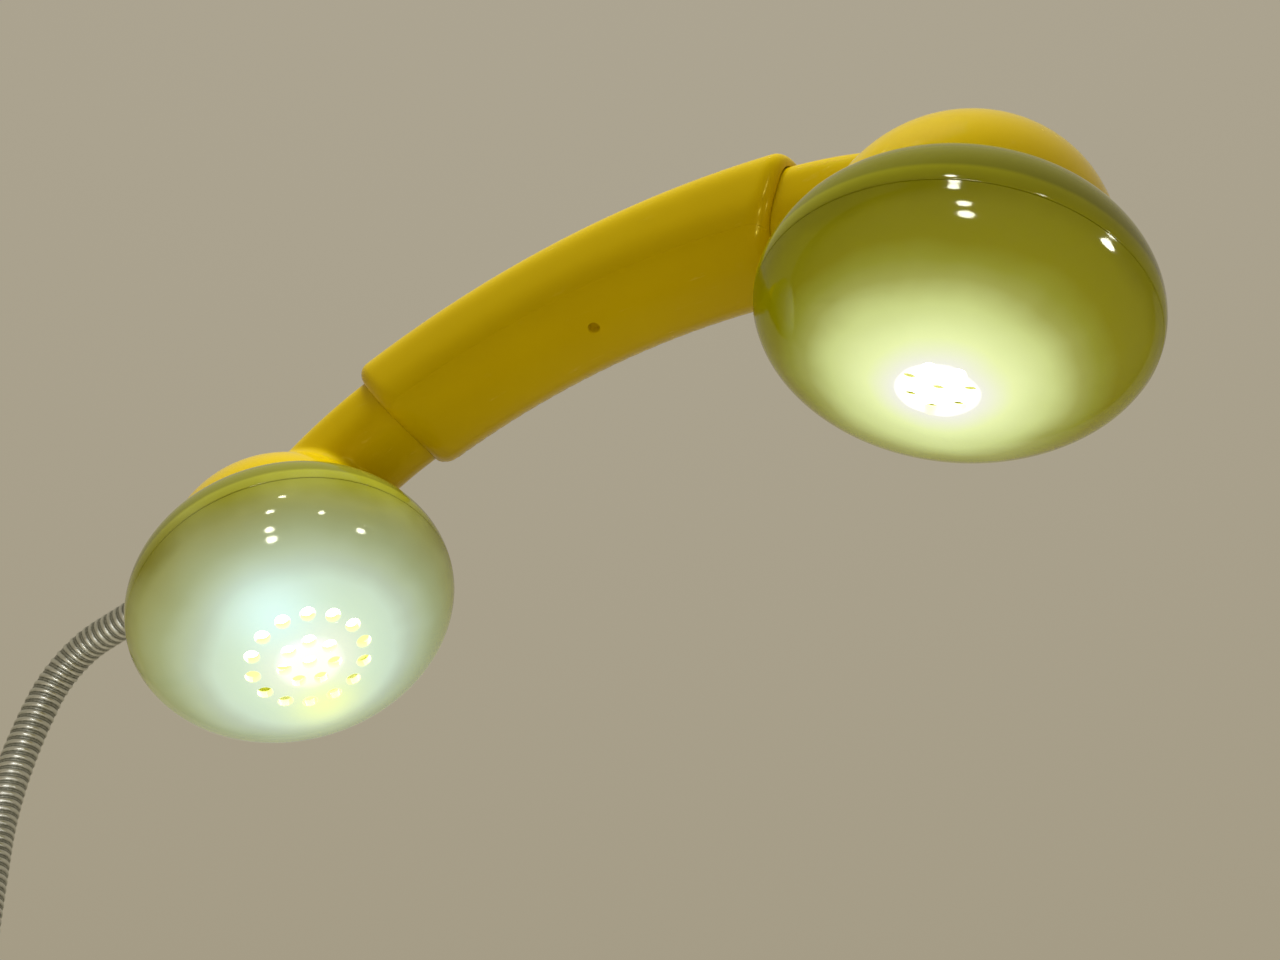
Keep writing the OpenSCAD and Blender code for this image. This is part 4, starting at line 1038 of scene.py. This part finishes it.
class LAMP_OT_arm(Operator):
    """Wound steel armour of the arm, in three lengths"""
    bl_idname = "lamp.arm"
    bl_label = "Arm armour"

    def execute(self, context):
        g = sizes()
        k = [d for d, _ in g.bends]
        upper = (k[4] + k[5]) / 2
        lower = k[8] + g.a.drop * 0.35
        high, sway, low = (k[2] + k[3]) / 2, (k[6] + k[7]) / 2, k[8] + g.a.drop
        foot_end = k[9] - (g.a.foot_h - 10 * MM)
        seam = 0.01 * MM
        lengths = (
            ("arm_armour_top", 0.0, upper - seam, high, "arm_mid", "handset",
             ("arm_mid_tube", "arm_top_tube")),
            ("arm_armour_middle", upper + seam, lower - seam, sway, "arm_low", "arm_mid", ("arm_low_tube",)),
            ("arm_armour_foot", lower + seam, foot_end, low, "arm_foot", "arm_low", ("arm_foot_tube",)))
        for name, s0, s1, hinge, below, above, nodes in lengths:
            obj = armour(g, name, s0, s1)
            # Points on the arm 6 mm either side of each length's hinge.
            ends = arm_path(g, np.array([hinge + 6 * MM, hinge - 6 * MM]))[0] + g.hand
            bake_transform(obj)
            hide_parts(*nodes)
        return {"FINISHED"}


class LAMP_OT_fittings(Operator):
    """Turned fittings at both ends of the arm, and the threaded foot stub"""
    bl_idname = "lamp.fittings"
    bl_label = "Fittings"

    def execute(self, context):
        g = sizes()
        r, a = g.arm_r, g.a
        steel = finish_for("turned_steel")
        same = lambda p: p
        out = g.h.cup + 1 * MM
        profile = [[r + 0.06 * MM, out], [r + 3.4 * MM, out], [r + 3.4 * MM, out + 2.5 * MM],
                   [r + 2 * MM, out + 3.1 * MM], [r + 1.8 * MM, out + 7.9 * MM],
                   [r + 1.1 * MM, out + 8.7 * MM], [r + 0.06 * MM, out + 8.7 * MM]]
        profile = fine_profile(rounded(profile, 0.35 * MM), 0.35 * MM)
        # Straight knurl of 48 teeth on the flange.
        knurl = knurled(48, 0.16 * MM, r + 3 * MM, out + 0.45 * MM, out + 2.1 * MM)
        obj = turned("arm_ferrule_top", profile, 288, exit_place(g), steel, knurl)
        place_piece(obj, "handset", "turned_steel", "arm_ferrule")
        foot_r, foot_h = a.foot_d / 2, a.foot_h
        bore = a.stub_d / 2 + 0.05 * MM
        profile = [[bore, 0], [foot_r, 0], [foot_r, 4 * MM], [r + 3.4 * MM, 4.1 * MM],
                   [r + 2.6 * MM, 5.6 * MM], [r + 2.2 * MM, foot_h - 1.2 * MM], [r + 1.4 * MM, foot_h],
                   [r + 0.06 * MM, foot_h], [r + 0.06 * MM, foot_h - 10 * MM], [bore, foot_h - 10.2 * MM]]
        profile = fine_profile(rounded(profile, 0.4 * MM), 0.4 * MM)
        # Straight knurl of 60 teeth round the foot flange.
        knurl = knurled(60, 0.2 * MM, foot_r - 0.5 * MM, 0.7 * MM, 3.2 * MM)
        obj = turned("foot_ferrule_body", profile, 360, same, steel, knurl)
        place_piece(obj, "arm_foot", "turned_steel", "foot_ferrule")
        s, low, shank = a.stub_d / 2, -a.stub_len, 6 * MM
        z = np.linspace(0, low, 190)
        bore = [[s - 1.6 * MM, low], [s - 1.6 * MM, shank], [s - 0.8 * MM, shank], [s - 0.8 * MM, 0.02 * MM]]
        profile = np.concatenate([np.stack([0 * z + s, z], 1), bore])

        def thread(rr, z, t):
            """Metric thread of 1 mm pitch: a V groove climbs one pitch a turn and the chamfer runs it out."""
            groove = 0.55 * MM * np.abs(((z / MM - t / TURN) % 1.0) * 2 - 1)
            chamfer = np.clip(low + 0.8 * MM - z, 0, 1) * 0.7
            return np.where(rr > s - 0.1 * MM, s - groove - chamfer, rr)

        obj = turned("foot_stub_thread", profile, 96, same, finish_for("stub_brass"), thread, sharp=60)
        place_piece(obj, "arm_foot", "stub_brass", "foot_stub")
        return {"FINISHED"}


def knurled(teeth, depth, beyond, low, high, soft=0.25 * MM):
    """Straight knurl for lathe work: rounded teeth cut where the radius is beyond one, between two heights."""
    def ripple(r, z, t):
        band = np.clip((z - low) / soft, 0, 1) * np.clip((high - z) / soft, 0, 1)
        return r - depth * (0.5 + 0.5 * np.cos(teeth * t)) * band * (r > beyond)
    return ripple


def fine_profile(profile, step):
    """Closed outline with extra points so that none of its edges is longer than a step."""
    p = np.asarray(profile, float)
    q = np.roll(p, -1, 0)
    parts = []
    for a, b in zip(p, q):
        n = max(1, int(math.ceil(np.linalg.norm(b - a) / step)))
        parts.append(a + (b - a) * (np.arange(n) / n)[:, None])
    return np.concatenate(parts)


class LAMP_OT_inner_parts(Operator):
    """Finishes for the fittings that stay as they are: lamp units, driver, spine, screws and leads"""
    bl_idname = "lamp.inner_parts"
    bl_label = "Inner parts"

    def execute(self, context):
        for part in frame["record"]["subparts"]:
            obj = frame["nodes"].get(part["node"])
            if obj is None or not obj.material_slots:
                continue
            for slot in obj.material_slots:
                slot.material = finish_for(part["material_slot"])
        return {"FINISHED"}


# ---- Finishes and stage ----

class LAMP_OT_finishes(Operator):
    """All materials of the lamp"""
    bl_idname = "lamp.finishes"
    bl_label = "Finishes"

    def execute(self, context):
        for slot, material in finishes(sizes()).items():
            context.scene["lamp_" + slot] = material.name
        return {"FINISHED"}


# Small lamps: direction in the camera's right, up and back, and distance in metres.
ROOM_LAMPS = (
    ((-0.02, 0.76, 0.65), 0.405),
    ((-0.07, 0.46, 0.88), 0.353),
    ((-0.03, 0.12, 0.99), 0.309),
    ((-0.01, -0.05, 1.0), 0.278),
    ((0.49, 0.41, 0.76), 0.413),
    ((0.81, 0.07, 0.58), 0.285),
)


class LAMP_OT_stage(Operator):
    """Camera, floor, surroundings and lights"""
    bl_idname = "lamp.stage"
    bl_label = "Stage"

    def execute(self, context):
        g = sizes()
        scene = context.scene
        scene.view_settings.view_transform = "Standard"
        data = bpy.data.cameras.new("camera")
        data.lens, data.sensor_width = 34.48, 36
        data.clip_start, data.clip_end = 0.01, 50
        camera = bpy.data.objects.new("camera", data)
        # The camera's right, up and back directions, and its place in metres.
        right, up = (0.85625, 0.51633, -0.01566), (0.36598, -0.58496, 0.72380)
        back, place = (0.36456, -0.62548, -0.68983), (0.235150, -0.141686, 0.064941)
        camera.matrix_world = Matrix([*zip(right, up, back, place), (0, 0, 0, 1)])
        scene.collection.objects.link(camera)
        scene.camera = camera
        # Pale matt floor just under the foot stub, with a slow uneven tone.
        floor_z = CAD_BOUNDS[0][2] - 0.3 * MM
        x, y = np.meshgrid([-4.0, 4.0], [-4.0, 4.0])
        m, t, s = new_material("painted_floor")
        where = add_node(t, "TexCoord").outputs["Object"]
        tone = add_node(t, "TexNoise", {"Vector": where, "Scale": 3, "Detail": 2})
        tone = add_node(t, "MapRange", {0: tone, 1: 0.3, 2: 0.7})
        tone = blended(t, tone, hex_rgb("BDB6A4"), hex_rgb("B6AF9D"))
        connect(t, s, {"Base Color": tone, "Roughness": 0.8})
        mesh = bpy.data.meshes.new("floor")
        mesh.from_pydata(np.stack([x, y, 0 * x + floor_z], -1).reshape(-1, 3).tolist(), [], [[0, 1, 3, 2]])
        mesh.materials.append(m)
        floor = bpy.data.objects.new("floor", mesh)
        scene.collection.objects.link(floor)
        # Even surroundings, a little brighter overhead.
        world = bpy.data.worlds.new("studio")
        scene.world = world
        world.use_nodes = True
        t = world.node_tree
        t.nodes.clear()
        where = add_node(t, "TexCoord").outputs["Generated"]
        height = add_node(t, "SeparateXYZ", {0: where}).outputs[2]
        height = add_node(t, "MapRange", {0: height, 1: 0.35, 2: 0.95})
        tone = blended(t, height, hex_rgb("A59C86"), g.look.backdrop)
        add_node(t, "OutputWorld", {0: add_node(t, "Background", {"Color": tone})})
        middle = g.hand + [0, 0, 0.02]
        axes = np.array([right, up, back])
        # Large soft key above and behind, then the small bright room lamps that the gloss picks up.
        key = self.lamp(middle, axes, (-0.05, 0.9, -0.35), 0.9, 0.5, g.look.key_watts)
        key.visible_glossy = False
        for way, far in ROOM_LAMPS:
            self.lamp(middle, axes, way, far, 0.03, 0.09).visible_diffuse = False
        return {"FINISHED"}

    def lamp(self, middle, axes, way, far, size, watts):
        """Area lamp at a distance from the handset, in the camera's own right, up and back directions."""
        way = np.array(way, float) @ axes
        way /= np.linalg.norm(way)
        data = bpy.data.lights.new("room_lamp", "AREA")
        data.shape, data.size, data.energy = "DISK", size, watts
        obj = bpy.data.objects.new("room_lamp", data)
        place = middle + way * far
        turn = Vector((-way).tolist()).to_track_quat("-Z", "Y")
        obj.matrix_world = Matrix.Translation(place.tolist()) @ turn.to_matrix().to_4x4()
        obj.visible_camera = False
        bpy.context.scene.collection.objects.link(obj)
        return obj


class LAMP_PT_panel(Panel):
    """Sizes, colours and pieces of the lamp"""
    bl_label = "Handset lamp"
    bl_idname = "LAMP_PT_panel"
    bl_space_type = "VIEW_3D"
    bl_region_type = "UI"
    bl_category = "Lamp"

    def draw(self, context):
        for name, _ in GROUPS:
            group = getattr(context.scene, name)
            box = self.layout.box()
            for key in group.__annotations__:
                box.prop(group, key)
        for op in OPERATORS:
            self.layout.operator(op.bl_idname)


GROUPS = (("lamp_caps", LampCapSizes), ("lamp_handle", LampHandleSizes), ("lamp_arm", LampArmSizes),
          ("lamp_look", LampLook))
OPERATORS = (LAMP_OT_finishes, LAMP_OT_inner_parts, LAMP_OT_stage, LAMP_OT_arm, LAMP_OT_fittings,
             LAMP_OT_grip, LAMP_OT_housings, LAMP_OT_collars, LAMP_OT_domes)


def register():
    for name, group in GROUPS:
        bpy.utils.register_class(group)
        setattr(bpy.types.Scene, name, PointerProperty(type=group))
    for cls in (*OPERATORS, LAMP_PT_panel):
        bpy.utils.register_class(cls)


def unregister():
    for cls in (LAMP_PT_panel, *reversed(OPERATORS)):
        bpy.utils.unregister_class(cls)
    for name, group in reversed(GROUPS):
        delattr(bpy.types.Scene, name)
        bpy.utils.unregister_class(group)


def main():
    register()
    for step in (bpy.ops.lamp.finishes, bpy.ops.lamp.inner_parts, bpy.ops.lamp.stage, bpy.ops.lamp.arm,
                 bpy.ops.lamp.fittings, bpy.ops.lamp.grip, bpy.ops.lamp.housings, bpy.ops.lamp.collars,
                 bpy.ops.lamp.domes):
        step()


if __name__ == "__main__":
    main()
